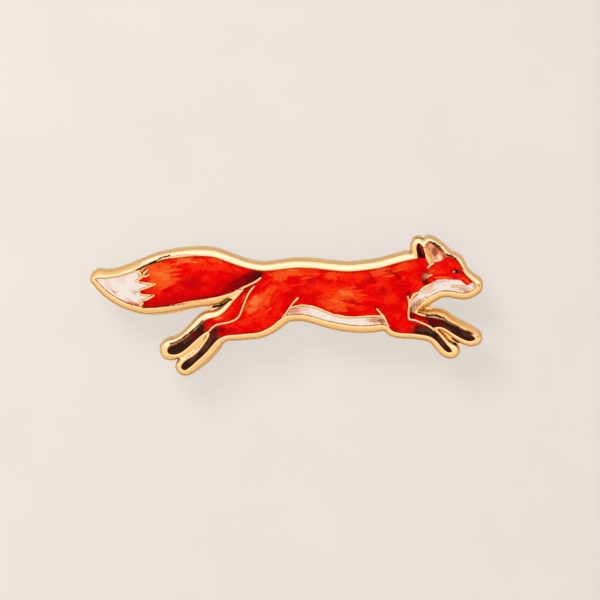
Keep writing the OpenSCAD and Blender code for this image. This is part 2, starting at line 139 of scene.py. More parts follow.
def plane_loops(node_name, z, slack=0.004, least=0.01):
    """Closed border lines of a node's flat face at height z, apart from specks."""
    mesh = frame["nodes"][node_name].data
    co = np.array([v.co for v in mesh.vertices]) / MM
    keys, index = {}, []
    for p in np.round(co, 3):
        index.append(keys.setdefault(tuple(p), len(keys)))
    spots = np.array(list(keys))
    tris = np.array([[index[i] for i in p.vertices] for p in mesh.polygons])
    level = np.abs(spots[:, 2] - z) < slack
    tris = tris[level[tris].all(1)]
    loops = [spots[chain][:, :2] for chain in chained(border_edges(tris))]
    return [loop if area_of(loop) > 0 else loop[::-1] for loop in loops if abs(area_of(loop)) > least]


def smoothed(loop, step, corner=48, least=0.05):
    """The loop as a smooth curve through its points, with its corners kept."""
    kept = [loop[0]]
    for p in loop[1:]:
        if np.hypot(*(p - kept[-1])) > least:
            kept.append(p)
    if np.hypot(*(kept[0] - kept[-1])) < least:
        kept.pop()
    pts = np.array(kept)
    before, after = pts - np.roll(pts, 1, 0), np.roll(pts, -1, 0) - pts
    crossed = before[:, 0] * after[:, 1] - before[:, 1] * after[:, 0]
    sharp = np.abs(np.degrees(np.arctan2(crossed, (before * after).sum(1)))) > corner
    out = []
    for i in range(len(pts)):
        j = (i + 1) % len(pts)
        p1, p2 = pts[i], pts[j]
        p0 = 2 * p1 - p2 if sharp[i] else pts[i - 1]
        p3 = 2 * p2 - p1 if sharp[j] else pts[(i + 2) % len(pts)]
        d1, d2, d3 = (max(np.hypot(*(q - p)) ** 0.5, 1e-3) for p, q in ((p0, p1), (p1, p2), (p2, p3)))
        m1 = m2 = p2 - p1
        if not sharp[i]:
            m1 = m1 + d2 * ((p1 - p0) / d1 - (p2 - p0) / (d1 + d2))
        if not sharp[j]:
            m2 = m2 + d2 * ((p3 - p2) / d3 - (p3 - p1) / (d2 + d3))
        count = max(1, int(round(np.hypot(*(p2 - p1)) / step)))
        for k in range(count):
            u = k / count
            out.append((2 * u ** 3 - 3 * u ** 2 + 1) * p1 + (u ** 3 - 2 * u ** 2 + u) * m1
                       + (3 * u ** 2 - 2 * u ** 3) * p2 + (u ** 3 - u ** 2) * m2)
    return np.array(out)


def pairs(loops):
    """All the loops' segments as two arrays of end points."""
    a = np.concatenate(loops)
    b = np.concatenate([np.roll(loop, -1, 0) for loop in loops])
    return a, b


def distance(points, a, b, step=0.03):
    """Distance of each point to the nearest of the segments a-b."""
    owner, spots = [], []
    for i, (p, q) in enumerate(zip(a, b)):
        count = max(1, int(np.hypot(*(q - p)) / step))
        for k in range(count + 1):
            owner.append(i)
            spots.append(p + (q - p) * k / count)
    tree = KDTree(len(spots))
    for i, (x, y) in enumerate(spots):
        tree.insert((x, y, 0), i)
    tree.balance()
    found = np.array([owner[tree.find((x, y, 0))[1]] for x, y in points.tolist()], int)
    best = np.full(len(points), np.inf)
    for shift in (-1, 0, 1):
        k = np.clip(found + shift, 0, len(a) - 1)
        ab, ap = b[k] - a[k], points - a[k]
        u = np.clip((ap * ab).sum(1) / np.maximum((ab ** 2).sum(1), 1e-12), 0, 1)
        best = np.minimum(best, np.hypot(*(ap - u[:, None] * ab).T))
    return best


def inside(points, loops):
    """Whether each point lies within the loops, by crossings."""
    order = np.argsort(points[:, 1])
    x, y = points[order, 0], points[order, 1]
    odd = np.zeros(len(points), bool)
    a, b = pairs(loops)
    starts = np.searchsorted(y, np.minimum(a[:, 1], b[:, 1]), "left")
    ends = np.searchsorted(y, np.maximum(a[:, 1], b[:, 1]), "left")
    for (ax, ay), (bx, by), s, e in zip(a, b, starts, ends):
        if e > s:
            odd[s:e] ^= x[s:e] < ax + (y[s:e] - ay) * (bx - ax) / (by - ay)
    out = np.empty(len(points), bool)
    out[order] = odd
    return out


def signed(points, loops, segments=None):
    """Distance to the segments, or else to the loops, positive within the loops."""
    d = distance(points, *(segments or pairs(loops)))
    return np.where(inside(points, loops), d, -d)


def rings(loop, offsets):
    """Copies of the loop's points, moved inwards by each offset."""
    ahead = np.roll(loop, -1, 0) - np.roll(loop, 1, 0)
    ahead /= np.maximum(np.hypot(ahead[:, 0], ahead[:, 1]), 1e-9)[:, None]
    inward = np.stack([-ahead[:, 1], ahead[:, 0]], 1)
    return [loop + inward * d for d in offsets]


def all_rings(loops, offsets):
    return np.concatenate([ring for loop in loops for ring in rings(loop, offsets)])


def thinned(points, cell):
    """One point for each cell of a fine grid, the first in the list."""
    _, first = np.unique(np.floor(points / cell).astype(int), axis=0, return_index=True)
    return points[np.sort(first)]


def hex_grid(low, high, step, row_ratio=0.866):
    rows = np.arange(low[1], high[1], step * row_ratio)
    cols = np.arange(low[0], high[0], step)
    x, y = np.meshgrid(cols, rows)
    x = x + (np.arange(len(rows)) % 2)[:, None] * step / 2
    return np.stack([x.ravel(), y.ravel()], 1)


def triangulated(loops, free):
    """Delaunay triangles of the free points and the loops, whose edges are kept."""
    verts, edges = [], []
    for loop in loops:
        start = len(verts)
        verts += [Vector(p) for p in loop]
        edges += [(start + i, start + (i + 1) % len(loop)) for i in range(len(loop))]
    verts += [Vector(p) for p in free]
    out = delaunay_2d_cdt(verts, edges, [], 0, 1e-5)
    return np.array([tuple(v) for v in out[0]]), np.array([tuple(f) for f in out[2]])


def trimmed(flat, tris, loops):
    """The triangles whose middles lie within the loops."""
    return tris[inside(flat[tris].mean(1), loops)]


OUTLINE_STEP, LINE_STEP, WEB_STEP = 0.15, 0.1, 0.08
OUTER = [smoothed(loop, OUTLINE_STEP) for loop in plane_loops("base", BACK)]
crest_loops = plane_loops("base", CREST)
longest = max(crest_loops, key=lambda loop: np.ptp(loop[:, 0]))
PICTURE = [smoothed(loop, OUTLINE_STEP) for loop in crest_loops if loop is not longest]
LINES = [smoothed(loop, LINE_STEP) for loop in plane_loops("base", LINE_TOP)]
FIELD_LOOPS = {n: plane_loops(n, ENAMEL_TOP) for n in FIELDS}
LOW, HIGH = OUTER[0].min(0), OUTER[0].max(0)

outer_pairs, picture_pairs, line_pairs = pairs(OUTER), pairs(PICTURE), pairs(LINES)
TOUCHING = 0.04
joined = np.all([distance(end, *picture_pairs) < TOUCHING for end in line_pairs], axis=0)
line_sides = tuple(end[~joined] for end in line_pairs)


def clear_of_metal(points):
    """Distance to the rim or the nearest line."""
    return np.minimum(distance(points, *picture_pairs), distance(points, *line_pairs))


# Noise

LATTICE = 256
LAYER_SHIFT_X, LAYER_SHIFT_Y = 17.3, 5.1
LAYER_SHRINK, LAYER_FADE = 2.03, 0.55


def value_noise(x, y, seed):
    """Smooth noise from 0 to 1 with bumps about one unit wide."""
    grid = np.random.default_rng(seed).random((LATTICE, LATTICE))
    i, j = np.floor(x).astype(int), np.floor(y).astype(int)
    u, v = x - i, y - j
    u, v = u * u * (3 - 2 * u), v * v * (3 - 2 * v)

    def at(a, b):
        return grid[a % LATTICE, b % LATTICE]

    return ((at(i, j) * (1 - u) + at(i + 1, j) * u) * (1 - v)
            + (at(i, j + 1) * (1 - u) + at(i + 1, j + 1) * u) * v)


def layered(x, y, size, seed, depth=4):
    """Noise of several sizes, from 0 to 1, the largest bumps size wide."""
    total, weight, share = 0, 0, 1.0
    for k in range(depth):
        shifted = value_noise(x / size + LAYER_SHIFT_X * k, y / size + LAYER_SHIFT_Y * k, seed + k)
        total = total + share * shifted
        weight += share
        size, share = size / LAYER_SHRINK, share * LAYER_FADE
    return total / weight


def step_up(low, high, value):
    """Smooth step from 0 at low to 1 at high."""
    t = np.clip((value - low) / (high - low), 0, 1)
    return t * t * (3 - 2 * t)


# Meshes

def build(name, verts, faces, materials, which=None, smooth=None):
    mesh = bpy.data.meshes.new(name)
    mesh.from_pydata((np.asarray(verts) * MM).tolist(), [], [list(map(int, f)) for f in faces])
    for m in materials:
        mesh.materials.append(m)
    if which is not None:
        mesh.polygons.foreach_set("material_index", np.asarray(which, np.int32))
    flags = np.ones(len(faces), bool) if smooth is None else np.asarray(smooth, bool)
    mesh.polygons.foreach_set("use_smooth", flags)
    mesh.update()
    piece = placed(name, mesh)
    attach(piece, "root")
    return piece


def raised(flat, z):
    return np.column_stack([flat, np.broadcast_to(z, len(flat))])


def slab(flat, tris, top, foot):
    """Points, faces and smooth flags of a plate with a modelled top and a flat foot."""
    size = len(flat)
    verts = np.concatenate([raised(flat, top), raised(flat, foot)])
    skirt = [(b, a, size + a, size + b) for a, b in border_edges(tris)]
    faces = [*tris, *(tris[:, ::-1] + size), *skirt]
    smooth = [True] * len(tris) + [False] * (len(faces) - len(tris))
    return verts, faces, smooth


def number_layer(piece, name, values):
    layer = piece.data.attributes.new(name, "FLOAT", "POINT")
    layer.data.foreach_set("value", np.asarray(values, np.float32))


def colour_layer(piece, name, rgb):
    layer = piece.data.color_attributes.new(name, "FLOAT_COLOR", "POINT")
    full = np.ones((len(rgb), 4), np.float32)
    full[:, :3] = rgb
    layer.data.foreach_set("color", full.ravel())


# Materials

def new_material(name):
    m = bpy.data.materials.new(name)
    m.use_nodes = True
    return m, m.node_tree, m.node_tree.nodes["Principled BSDF"]


def node(tree, kind, **values):
    n = tree.nodes.new(kind)
    for key, value in values.items():
        if key in n.inputs:
            n.inputs[key].default_value = value
        else:
            setattr(n, key, value)
    return n


def plug(socket, value):
    """Links the socket to another node's output, or sets it to a value."""
    if isinstance(value, bpy.types.NodeSocket):
        socket.id_data.links.new(value, socket)
    else:
        socket.default_value = value


def ramp(tree, source, stops):
    n = tree.nodes.new("ShaderNodeValToRGB")
    elements = n.color_ramp.elements
    while len(elements) < len(stops):
        elements.new(0.5)
    for e, (at, colour) in zip(elements, stops):
        e.position = at
        e.color = (*colour, 1)
    plug(n.inputs[0], source)
    return n.outputs[0]


def grey(value):
    return (value, value, value)


def object_place(tree):
    return node(tree, "ShaderNodeTexCoord").outputs["Object"]


def attribute(tree, name):
    return node(tree, "ShaderNodeAttribute", attribute_name=name).outputs["Fac"]


def noise(tree, where, scale, detail, **more):
    n = node(tree, "ShaderNodeTexNoise", Scale=scale, Detail=detail, **more)
    plug(n.inputs["Vector"], where)
    return n.outputs["Fac"]


def mixed(tree, factor, first, second, blend="MIX"):
    n = node(tree, "ShaderNodeMix", data_type="RGBA", blend_type=blend)
    for socket, value in (("Factor", factor), (6, first), (7, second)):
        plug(n.inputs[socket], value)
    return n.outputs[2]


def worked(tree, kind, operation, values, output=0, **more):
    """Output of a maths node, with the values plugged into its inputs in order."""
    n = node(tree, kind, operation=operation, **more)
    for socket, value in zip(n.inputs, values):
        plug(socket, value)
    return n.outputs[output]


def bumped(tree, shader, height, strength, span):
    b = node(tree, "ShaderNodeBump", Strength=strength, Distance=span)
    plug(b.inputs["Height"], height)
    plug(shader.inputs["Normal"], b.outputs[0])


# Fineness of the surfaces' noise, in bumps a metre
WANDER, PATCH, GRAIN = 260.0, 700.0, 5200.0
PIGMENT, COAT_SWELL, PAPER_TOOTH = 2600.0, 420.0, 60.0
# Colours painted into the gold: reflected gold where rims mirror each other, and black painted shade
REFLECTED_GOLD = (0.98, 0.60, 0.20, 1)
SHADE_BLACK = (0.007, 0.004, 0.002, 1)
# Painted shade across the metal: brightness by the attribute across, from low on the side wall to well
# within the rim, darker at the wall's foot and where the wall meets the rim
BAND_LOW, BAND_HIGH = -0.7, 0.35
SHADE_BANDS = [(0.0, grey(0.55)), (0.16, grey(0.92)), (0.45, grey(1.0)),
         (0.64, grey(0.80)), (0.80, grey(0.90)), (1.0, grey(1.0))]


def edge_lines(tree, where, across):
    """Fine lines that run along the metal's edges and wander a little."""
    bend = noise(tree, where, WANDER, 2.0)
    wander = worked(tree, "ShaderNodeMath", "MULTIPLY_ADD", (bend, 0.35, across))
    lines = node(tree, "ShaderNodeTexNoise", noise_dimensions="1D", Scale=9.0, Detail=3.0)
    plug(lines.inputs["W"], wander)
    return lines.outputs["Fac"]


def gilt(name, colour, deep, rough, rough_span, bump, streaks):
    """Gold plate of uneven tone and roughness, with painted shade in bands along the wall, painted gold
    reflection where rims face each other, deeper gold flecks on the lines, and black painted shade in
    hollows and gaps.
    """
    m, tree, shader = new_material(name)
    plug(shader.inputs["Metallic"], 1)
    where = object_place(tree)
    across = attribute(tree, "across")
    patch = noise(tree, where, PATCH, 3.0)
    grain = noise(tree, where, GRAIN, 2.0)
    lines = edge_lines(tree, where, across) if streaks else None
    tone = ramp(tree, lines if streaks else patch, [(0.40, deep), (0.60, colour)])
    height = node(tree, "ShaderNodeMapRange", **{"From Min": BAND_LOW, "From Max": BAND_HIGH})
    plug(height.inputs["Value"], across)
    # Painted shade in bands, then painted gold reflection, then black painted shade, mixed into the colour
    band_shaded = mixed(tree, 1.0, tone, ramp(tree, height.outputs[0], SHADE_BANDS), "MULTIPLY")
    deepened = mixed(tree, attribute(tree, "gold_reflection_and_flecks"), band_shaded, REFLECTED_GOLD)
    shaded = mixed(tree, attribute(tree, "painted_shade"), deepened, SHADE_BLACK)
    plug(shader.inputs["Base Color"], shaded)
    uneven = ramp(tree, patch, [(0.3, grey(rough)), (0.7, grey(rough + rough_span))])
    plug(shader.inputs["Roughness"], uneven)
    relief = worked(tree, "ShaderNodeMath", "ADD", (lines if streaks else grain, grain))
    bumped(tree, shader, relief, bump, 0.00002)
    return m


GILT = gilt("gilt_polished", colour=(0.98, 0.71, 0.36), deep=(0.93, 0.61, 0.27),
            rough=0.15, rough_span=0.08, bump=0.2, streaks=True)
WALL = gilt("gilt_brushed", colour=(0.99, 0.70, 0.35), deep=(0.82, 0.51, 0.21),
            rough=0.22, rough_span=0.1, bump=0.8, streaks=True)
BAR = gilt("gilt_bar", colour=(0.92, 0.64, 0.31), deep=(0.80, 0.52, 0.22),
           rough=0.17, rough_span=0.12, bump=0.5, streaks=False)
BACKING = gilt("gilt_back", colour=(0.88, 0.60, 0.28), deep=(0.78, 0.5, 0.2),
               rough=0.34, rough_span=0.14, bump=1.0, streaks=False)


def enamel_material(name, grainy):
    """Painted enamel: the paint layer, with pigment grain and a clear, slightly uneven coat."""
    m, tree, shader = new_material(name)
    where = object_place(tree)
    paint = node(tree, "ShaderNodeVertexColor", layer_name="paint").outputs[0]
    specks = noise(tree, where, PIGMENT, 4.0, Roughness=0.65)
    shade = ramp(tree, specks, [(0.3, grey(0.80)), (0.7, grey(1.0))])
    plug(shader.inputs["Base Color"], mixed(tree, grainy, paint, shade, "MULTIPLY"))
    swell = noise(tree, where, COAT_SWELL, 2.0)
    uneven = ramp(tree, swell, [(0.3, grey(0.22)), (0.7, grey(0.36))])
    plug(shader.inputs["Roughness"], uneven)
    plug(shader.inputs["Specular IOR Level"], 0.035)
    bumped(tree, shader, swell, 0.25, 0.00004)
    return m


# Places on the face are counted right and down, in steps of UNIT, from a corner above the tail's
# tip, as the camera sees the enamel's top. TILT is how far down a millimetre of height shows.
UNIT = 0.1394
ORIGIN_RIGHT, ORIGIN_DOWN = 205.7, 81.92
DOWN_PER_MM, TILT = 7.191, 1.61325
ALONG_Y, ALONG_X = 0.97437, 0.0157


def face_units(p):
    """Face places of points, right and down."""
    right = p[:, 0] / UNIT + ORIGIN_RIGHT
    down = ORIGIN_DOWN - (p[:, 1] * ALONG_Y - ALONG_X * p[:, 0]) * DOWN_PER_MM
    return right, down


def from_face(spots):
    """Points of face places."""
    x = (spots[:, 0] - ORIGIN_RIGHT) * UNIT
    y = ((ORIGIN_DOWN - spots[:, 1]) / DOWN_PER_MM + ALONG_X * x) / ALONG_Y
    return np.column_stack([x, y])


def reach_of(right, down, places, step=1.0):
    """Distance of face places to the line through the given ones."""
    line = np.array(places, float)
    return distance(np.column_stack([right, down]), line[:-1], line[1:], step)


# Metal

# Painted shade and dark reflections: streaks in the metal's hollows, in the deep ends of gaps and along
# rims: half width, strength, places
SHADE_STREAKS = [
    (1.2, 1, [(57.5, 44.6), (64, 41), (70, 38.4), (76, 35.6), (82.5, 32.5), (90, 30.6)]),
    (1.4, 1, [(69, 39), (76, 36.4)]),
    (0.9, 0.7, [(74, 38), (82, 35.2), (90, 33.6)]),
    (0.9, 0.5, [(92, 31.4), (104, 29.6), (116, 30)]),
    (1.4, 1, [(90, 119.2), (95, 117.6), (100, 115), (108.3, 109.2), (113, 105)]),
    (1.1, 0.9, [(113, 105), (117, 101.4), (122.5, 95.8)]),
    (0.8, 0.6, [(97, 119), (105, 115), (112, 109)]),
    (2.1, 1, [(133, 82), (139, 80.6), (146, 77.8)]),
    (1.6, 1, [(146, 77.8), (151, 74.6)]),
    (0.8, 0.7, [(106, 133), (112, 128.4), (118, 122.4), (123, 115.6), (126, 110.6)]),
    (1.5, 1, [(349, 17), (354, 19), (358.3, 22)]),
    (1.1, 0.8, [(358.3, 22), (362, 26)]),
    (1.3, 1, [(365.8, 30), (371, 31.4), (375, 33.7)]),
    (0.8, 0.8, [(375, 33.7), (378.3, 39.5), (382.5, 44.5)]),
    (0.9, 0.8, [(397, 59.5), (398.6, 61)]),
    (1.6, 1, [(347, 90.2), (355, 90.6), (363, 92.3)]),
    (1, 0.8, [(338, 87.6), (347, 89.6)]),
    (1.2, 0.9, [(363, 92.3), (368, 96.4), (379.5, 102.6)]),
    (1.6, 1, [(387, 106.4), (392, 108.6)]),
    (0.8, 0.8, [(379.5, 102.6), (387, 106.4)]),
    (0.7, 0.7, [(396, 111), (397.4, 112)]),
    (0.9, 0.9, [(342, 85), (345, 83.4)]),
    (0.8, 0.7, [(345.6, 82), (348.6, 80.4)]),
    (1.3, 1, [(372, 113.6), (375, 115.6), (378.6, 117.4)]),
    (0.6, 0.4, [(361, 106.4), (366, 110)]),
    (1, 0.9, [(97, 133.6), (98.4, 135)]),
    (0.8, 0.6, [(29, 67), (41, 75.6), (52, 80.6)]),
    (0.8, 0.9, [(62, 83), (76, 82.4), (90, 80.8), (104, 78.6)]),
    (0.7, 0.5, [(104, 78.6), (128, 74)]),
    (0.8, 0.9, [(362, 66), (371, 65.6)]),
    (0.9, 0.9, [(62.2, 49.4), (62.8, 50)]),
    (0.9, 0.9, [(60.2, 57), (60.8, 57.6)]),
    (0.9, 0.9, [(72.2, 59.2), (73.4, 59.2)]),
    (0.9, 0.9, [(71.2, 70.4), (72.2, 70.4)]),
    (0.7, 0.8, [(332.6, 12.6), (342, 14)]),
]

# Painted reflection: deep gold where two rims face each other across a narrow gap and mirror each other:
# half width, strength, places
REFLECTING_GROOVES = [
    (1.6, 0.9, [(123, 115.4), (116, 121), (109, 126), (103, 130.6)]),
    (2.6, 0.9, [(115, 91.6), (121, 87), (128, 84.2), (137, 82), (147, 78)]),
    (1, 0.7, [(94, 113.6), (102, 109.4), (110, 101), (115, 92.5)]),
    (3.4, 0.9, [(340, 85), (345, 83.5), (353, 84.4), (362, 87)]),
    (2.4, 0.85, [(362, 87), (368, 90.4), (375, 95.4), (386, 101.6), (395, 106.6)]),
    (3, 0.9, [(361, 106), (369, 112), (375, 117), (379, 121)]),
    (1.2, 0.6, [(341, 14.6), (342.6, 18)]),
    (1, 0.5, [(84, 33.4), (96, 31.4), (112, 30.4)]),
]

# Narrow gaps between two rims, closed by metal below the crest that stands in for the shade and gold
# reflections deep in the gaps: the corners' places
WEBS = [
    [(126.4, 82.8), (131.5, 83.9), (127.6, 86.8), (134, 86), (138.4, 84.2), (143.6, 80), (148.6, 75.4),
     (148.6, 73.8), (146.4, 75), (141.6, 77.9), (136.5, 80.2)],
    [(339.6, 86.2), (344.5, 86), (352.6, 85.4), (350, 83.8), (349.4, 82), (351.4, 79.2), (346.5, 81),
     (341.8, 84.6)],
    [(358.8, 104.6), (360.4, 106.8), (365.2, 111.6), (370.2, 117), (376, 119.8), (379.4, 122.4),
     (379.4, 120.6), (382, 119.6), (375.2, 114.8), (371.6, 112.2), (365.4, 107.5)],
]

# Rims that fall away outwards from a narrow crest: places along them
LEANING = [
    [(6, 41), (10, 45), (20, 48.4), (34, 47), (46, 43.4), (55, 39)],
    [(343, 86.4), (353, 86.4), (362, 88.8), (368, 92), (375, 97), (386, 103), (397, 108.6)],
]

SLOPE_NARROW, SLOPE_WIDER = 0.2, 0.17
BROAD_STREAK = 1.05
FAR_AWAY = 9.0


def beside(p, tracks, near, far):
    """1 within near of any of the tracks on the face, 0 beyond far."""
    reach = np.min([reach_of(*face_units(p), places) for places in tracks], axis=0)
    return 1 - step_up(near, far, reach)


def slope_width(p):
    """Width of the rim's slope down to the picture: wider beside the broad streaks of painted shade."""
    broad = [places for width, _, places in SHADE_STREAKS if width > BROAD_STREAK]
    return SLOPE_NARROW + SLOPE_WIDER * beside(p, broad, 1.5, 6)


# The rim's profile runs from the picture (0) to the outline (1), over at most RIM_MAX
RIM_MAX = 1.24
CREST_END = 0.16
GENTLE_SLOPE, GENTLE_BEND = 0.07, 0.145
SHOULDER, SHOULDER_DROP = 0.64, 0.105
LEAN_START, LEAN_DROP = 0.30, 0.012
LINE_ROUNDING, LINE_SWELL = 0.06, 0.015
FLOOR_ROUNDING = 0.04
ON_OUTLINE = 1e-4
BRUSHED_EDGE, BRUSHED_LEAN = 0.33, 0.34


def rounding(share, power):
    """Fall of a rounded edge, from 0 at its start to 1 at its end."""
    return 1 - np.sqrt(np.maximum(1 - share ** power, 0))


def edge_fall(t, start, straight, bend, power):
    """Fall from 0 at start to 1 at the outline: partly almost straight, and rounded for the rest."""
    share = np.clip((t - start) / (1 - start), 0, 1)
    return straight * share ** bend + (1 - straight) * rounding(share, power)


def usual_rim(t, width):
    """Flat crest, gentle fall, then a rounded shoulder down to the side wall."""
    gentle = np.clip((t - CREST_END) / (SHOULDER - CREST_END), 0, 1)
    drop = width * (SHOULDER - CREST_END) * (GENTLE_SLOPE * gentle + GENTLE_BEND * gentle ** 2)
    fall = (CREST - SHOULDER_DROP - WALL_TOP) * edge_fall(t, SHOULDER, 0.16, 1, 2.1)
    return CREST - np.where(t < SHOULDER, drop, SHOULDER_DROP + fall)


def leaning_rim(t):
    """Narrow crest, then an even fall down to the side wall."""
    fall = (CREST - LEAN_DROP - WALL_TOP) * edge_fall(t, LEAN_START, 0.5, 1.15, 2.4)
    return CREST - LEAN_DROP * np.minimum(t / LEAN_START, 1) - fall


def metal_height(p):
    """Height of the metal, distances to outline, picture and line, and where the rim is brushed."""
    d_out = distance(p, *outer_pairs)
    d_pic = -signed(p, PICTURE)
    within = signed(p, LINES, line_sides)
    width = np.minimum(d_out + np.maximum(d_pic, 0), RIM_MAX)
    t = np.where(d_out < ON_OUTLINE, 1, np.clip(d_pic / np.maximum(width, 1e-6), 0, 1))
    lean = beside(p, LEANING, 3.5, 7.5)
    rim = usual_rim(t, width)
    rim = rim + (leaning_rim(t) - rim) * lean
    rim = rim - (CREST - SLOPE_FOOT) * rounding(1 - np.clip(d_pic / slope_width(p), 0, 1), 2)
    swell = 1 - rounding(1 - np.clip(within / LINE_ROUNDING, 0, 1), 2)
    line = LINE_FOOT + (LINE_TOP + LINE_SWELL - LINE_FOOT) * swell
    sunk = np.clip(-np.maximum(within, d_pic) / FLOOR_ROUNDING, 0, 1)
    ground = LINE_FOOT + (FLOOR - LINE_FOOT) * sunk
    z = np.where(d_pic > 0, rim, np.where(within > 0, line, ground))
    brushed_part = (d_out < BRUSHED_EDGE) | ((lean > 0.5) & (t > BRUSHED_LEAN))
    return np.where(d_out < ON_OUTLINE, WALL_TOP, z), d_out, d_pic, within, brushed_part


def streaked(verts, rows, slack, margin=3):
    """How much of the given streaks each point has; slack is how ragged they are."""
    right, down = face_units(verts)
    down = down + (verts[:, 2] - ENAMEL_TOP) * TILT
    spots = np.column_stack([right, down])
    rough = layered(right, down, size=1.6, seed=301, depth=3) - 0.5
    amount = np.zeros(len(verts))
    for width, strength, places in rows:
        line = np.array(places, float)
        low, high = line.min(0) - width - margin, line.max(0) + width + margin
        near = np.where(((spots > low) & (spots < high)).all(1))[0]
        d = distance(spots[near], line[:-1], line[1:]) / width + slack * rough[near]
        amount[near] = np.maximum(amount[near], strength * (1 - step_up(0.4, 1, d)))
    return amount


def painted_shade_amount(verts, d_pic, within):
    """How much painted shade each point of the metal gets: dark streaks in hollows, gaps and along rims,
    and dots of shade along the foot of rims and lines.
    """
    right, down = face_units(verts)
    foot = np.minimum(np.abs(d_pic), np.abs(within))
    dots = step_up(0.46, 0.58, layered(right, down, size=2.0, seed=311, depth=2))
    return np.maximum(streaked(verts, SHADE_STREAKS, 1.2), 0.5 * dots * (1 - step_up(0.03, 0.09, foot)))


OUTLINE_RINGS = [0.012, 0.035, 0.07, 0.115, 0.17, 0.24, 0.32]
PICTURE_RINGS = [0.045, -0.01, -0.03, -0.06, -0.1, -0.15, -0.21, -0.28]
LINE_RINGS = [-0.045, 0.015, 0.045, 0.09, 0.14]
RIM_MESH, FLOOR_MESH, BACK_MESH, WEB_MESH = 0.115, 0.9, 1.2, 0.09
MESH_CLEAR, METAL_CELL = 0.3, 0.022
BEAD_SIZE, BEAD_HEIGHT = 0.34, 0.05
SWELL_SIZE, SWELL_HEIGHT = 1.3, 0.02
# How hollow the webs' tops are, and how much painted gold reflection they get
WEB_HOLLOW, WEB_REFLECTED_GOLD = 0.12, 0.85
# Rings of the side wall below its top: height, inset
WALL_RINGS = [(4.62, 0), (4.34, 0), (4.25, 0.012), (BACK, 0.06)]


def metal_points():
    """Free points of the metal's top: close along its borders, wide apart under the enamel."""
    outer = all_rings(OUTER, OUTLINE_RINGS)
    outer = outer[inside(outer, OUTER)]
    picture = all_rings(PICTURE, PICTURE_RINGS)
    picture = picture[inside(picture, OUTER) & (distance(picture, *outer_pairs) > 0.08)]
    line = all_rings(LINES, LINE_RINGS)
    line = line[inside(line, PICTURE)]
    rim = hex_grid(LOW, HIGH, RIM_MESH)
    rim = rim[inside(rim, OUTER) & ~inside(rim, PICTURE) & (distance(rim, *picture_pairs) > MESH_CLEAR)]
    ground = hex_grid(LOW, HIGH, FLOOR_MESH)
    ground = ground[inside(ground, PICTURE) & (clear_of_metal(ground) > MESH_CLEAR)]
    free = np.concatenate([outer, picture, line, rim, ground])
    return thinned(free[distance(free, *outer_pairs) > OUTLINE_RINGS[0] / 2], METAL_CELL)


def metal_wall(flat, tris):
    """Side wall below the top's border: its points, its faces, and the back's outlines."""
    points, faces, outlines = [], [], []
    for ring in chained(border_edges(tris)):
        upper = ring
        for height, inset in WALL_RINGS:
            outline = rings(flat[ring], [inset])[0]
            start = len(flat) + len(points)
            lower = list(range(start, start + len(ring)))
            points += [(x, y, height) for x, y in outline]
            faces += [(upper[i], upper[i - 1], lower[i - 1], lower[i]) for i in range(len(ring))]
            upper = lower
        outlines.append(outline)
    return np.array(points), faces, outlines


def metal_back(outlines):
    free = hex_grid(LOW, HIGH, BACK_MESH)
    free = free[inside(free, outlines) & (distance(free, *pairs(outlines)) > 0.5)]
    flat, tris = triangulated(outlines, free)
    return raised(flat, BACK), trimmed(flat, tris, outlines)


def build_metal():
    """The struck body: its top with rims, lines and pockets, its side wall and its back."""
    flat, tris = triangulated(OUTER + PICTURE + LINES, metal_points())
    tris = trimmed(flat, tris, OUTER)
    z, d_out, d_pic, within, brushed_part = metal_height(flat)
    x, y = flat.T
    beads = layered(x, y, BEAD_SIZE, seed=91, depth=2) - 0.5
    swell = layered(x, y, SWELL_SIZE, seed=77, depth=3) - 0.5
    z = z + np.where((within > 0.02) & (d_pic < 0.1), BEAD_HEIGHT * beads, 0)
    z = z + np.where((d_pic > 0) & (d_out > 0.2), SWELL_HEIGHT * swell, 0)
    z = np.minimum(z, CREST)
    wall, wall_faces, outlines = metal_wall(flat, tris)
    back, back_tris = metal_back(outlines)
    verts = np.concatenate([raised(flat, z), wall, back])
    faces = [*tris, *wall_faces, *(back_tris[:, ::-1] + len(flat) + len(wall))]
    which = [*(brushed_part[tris].sum(1) > 1), *[1] * len(wall_faces), *[2] * len(back_tris)]
    piece = build("body_metal", verts, faces, [GILT, WALL, BACKING], which)

    def elsewhere(values, value):
        return np.concatenate([values, np.full(len(verts) - len(flat), value)])

    flecks = 0.06 + 0.54 * step_up(0.4, 0.7, layered(x, y, size=0.3, seed=93, depth=2))
    golden = np.where((within > 0.01) & (d_pic < 0.02), flecks, 0)
    number_layer(piece, "across", np.concatenate([d_out, wall[:, 2] - WALL_TOP, np.full(len(back), -1.0)]))
    # Painted shade in hollows and gaps, and painted gold reflection with gold flecks on the lines
    number_layer(piece, "painted_shade", painted_shade_amount(verts, elsewhere(d_pic, FAR_AWAY), elsewhere(within, -FAR_AWAY)))
    number_layer(piece, "gold_reflection_and_flecks", np.maximum(elsewhere(golden, 0), streaked(verts, REFLECTING_GROOVES, 0.4)))
    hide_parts("base")


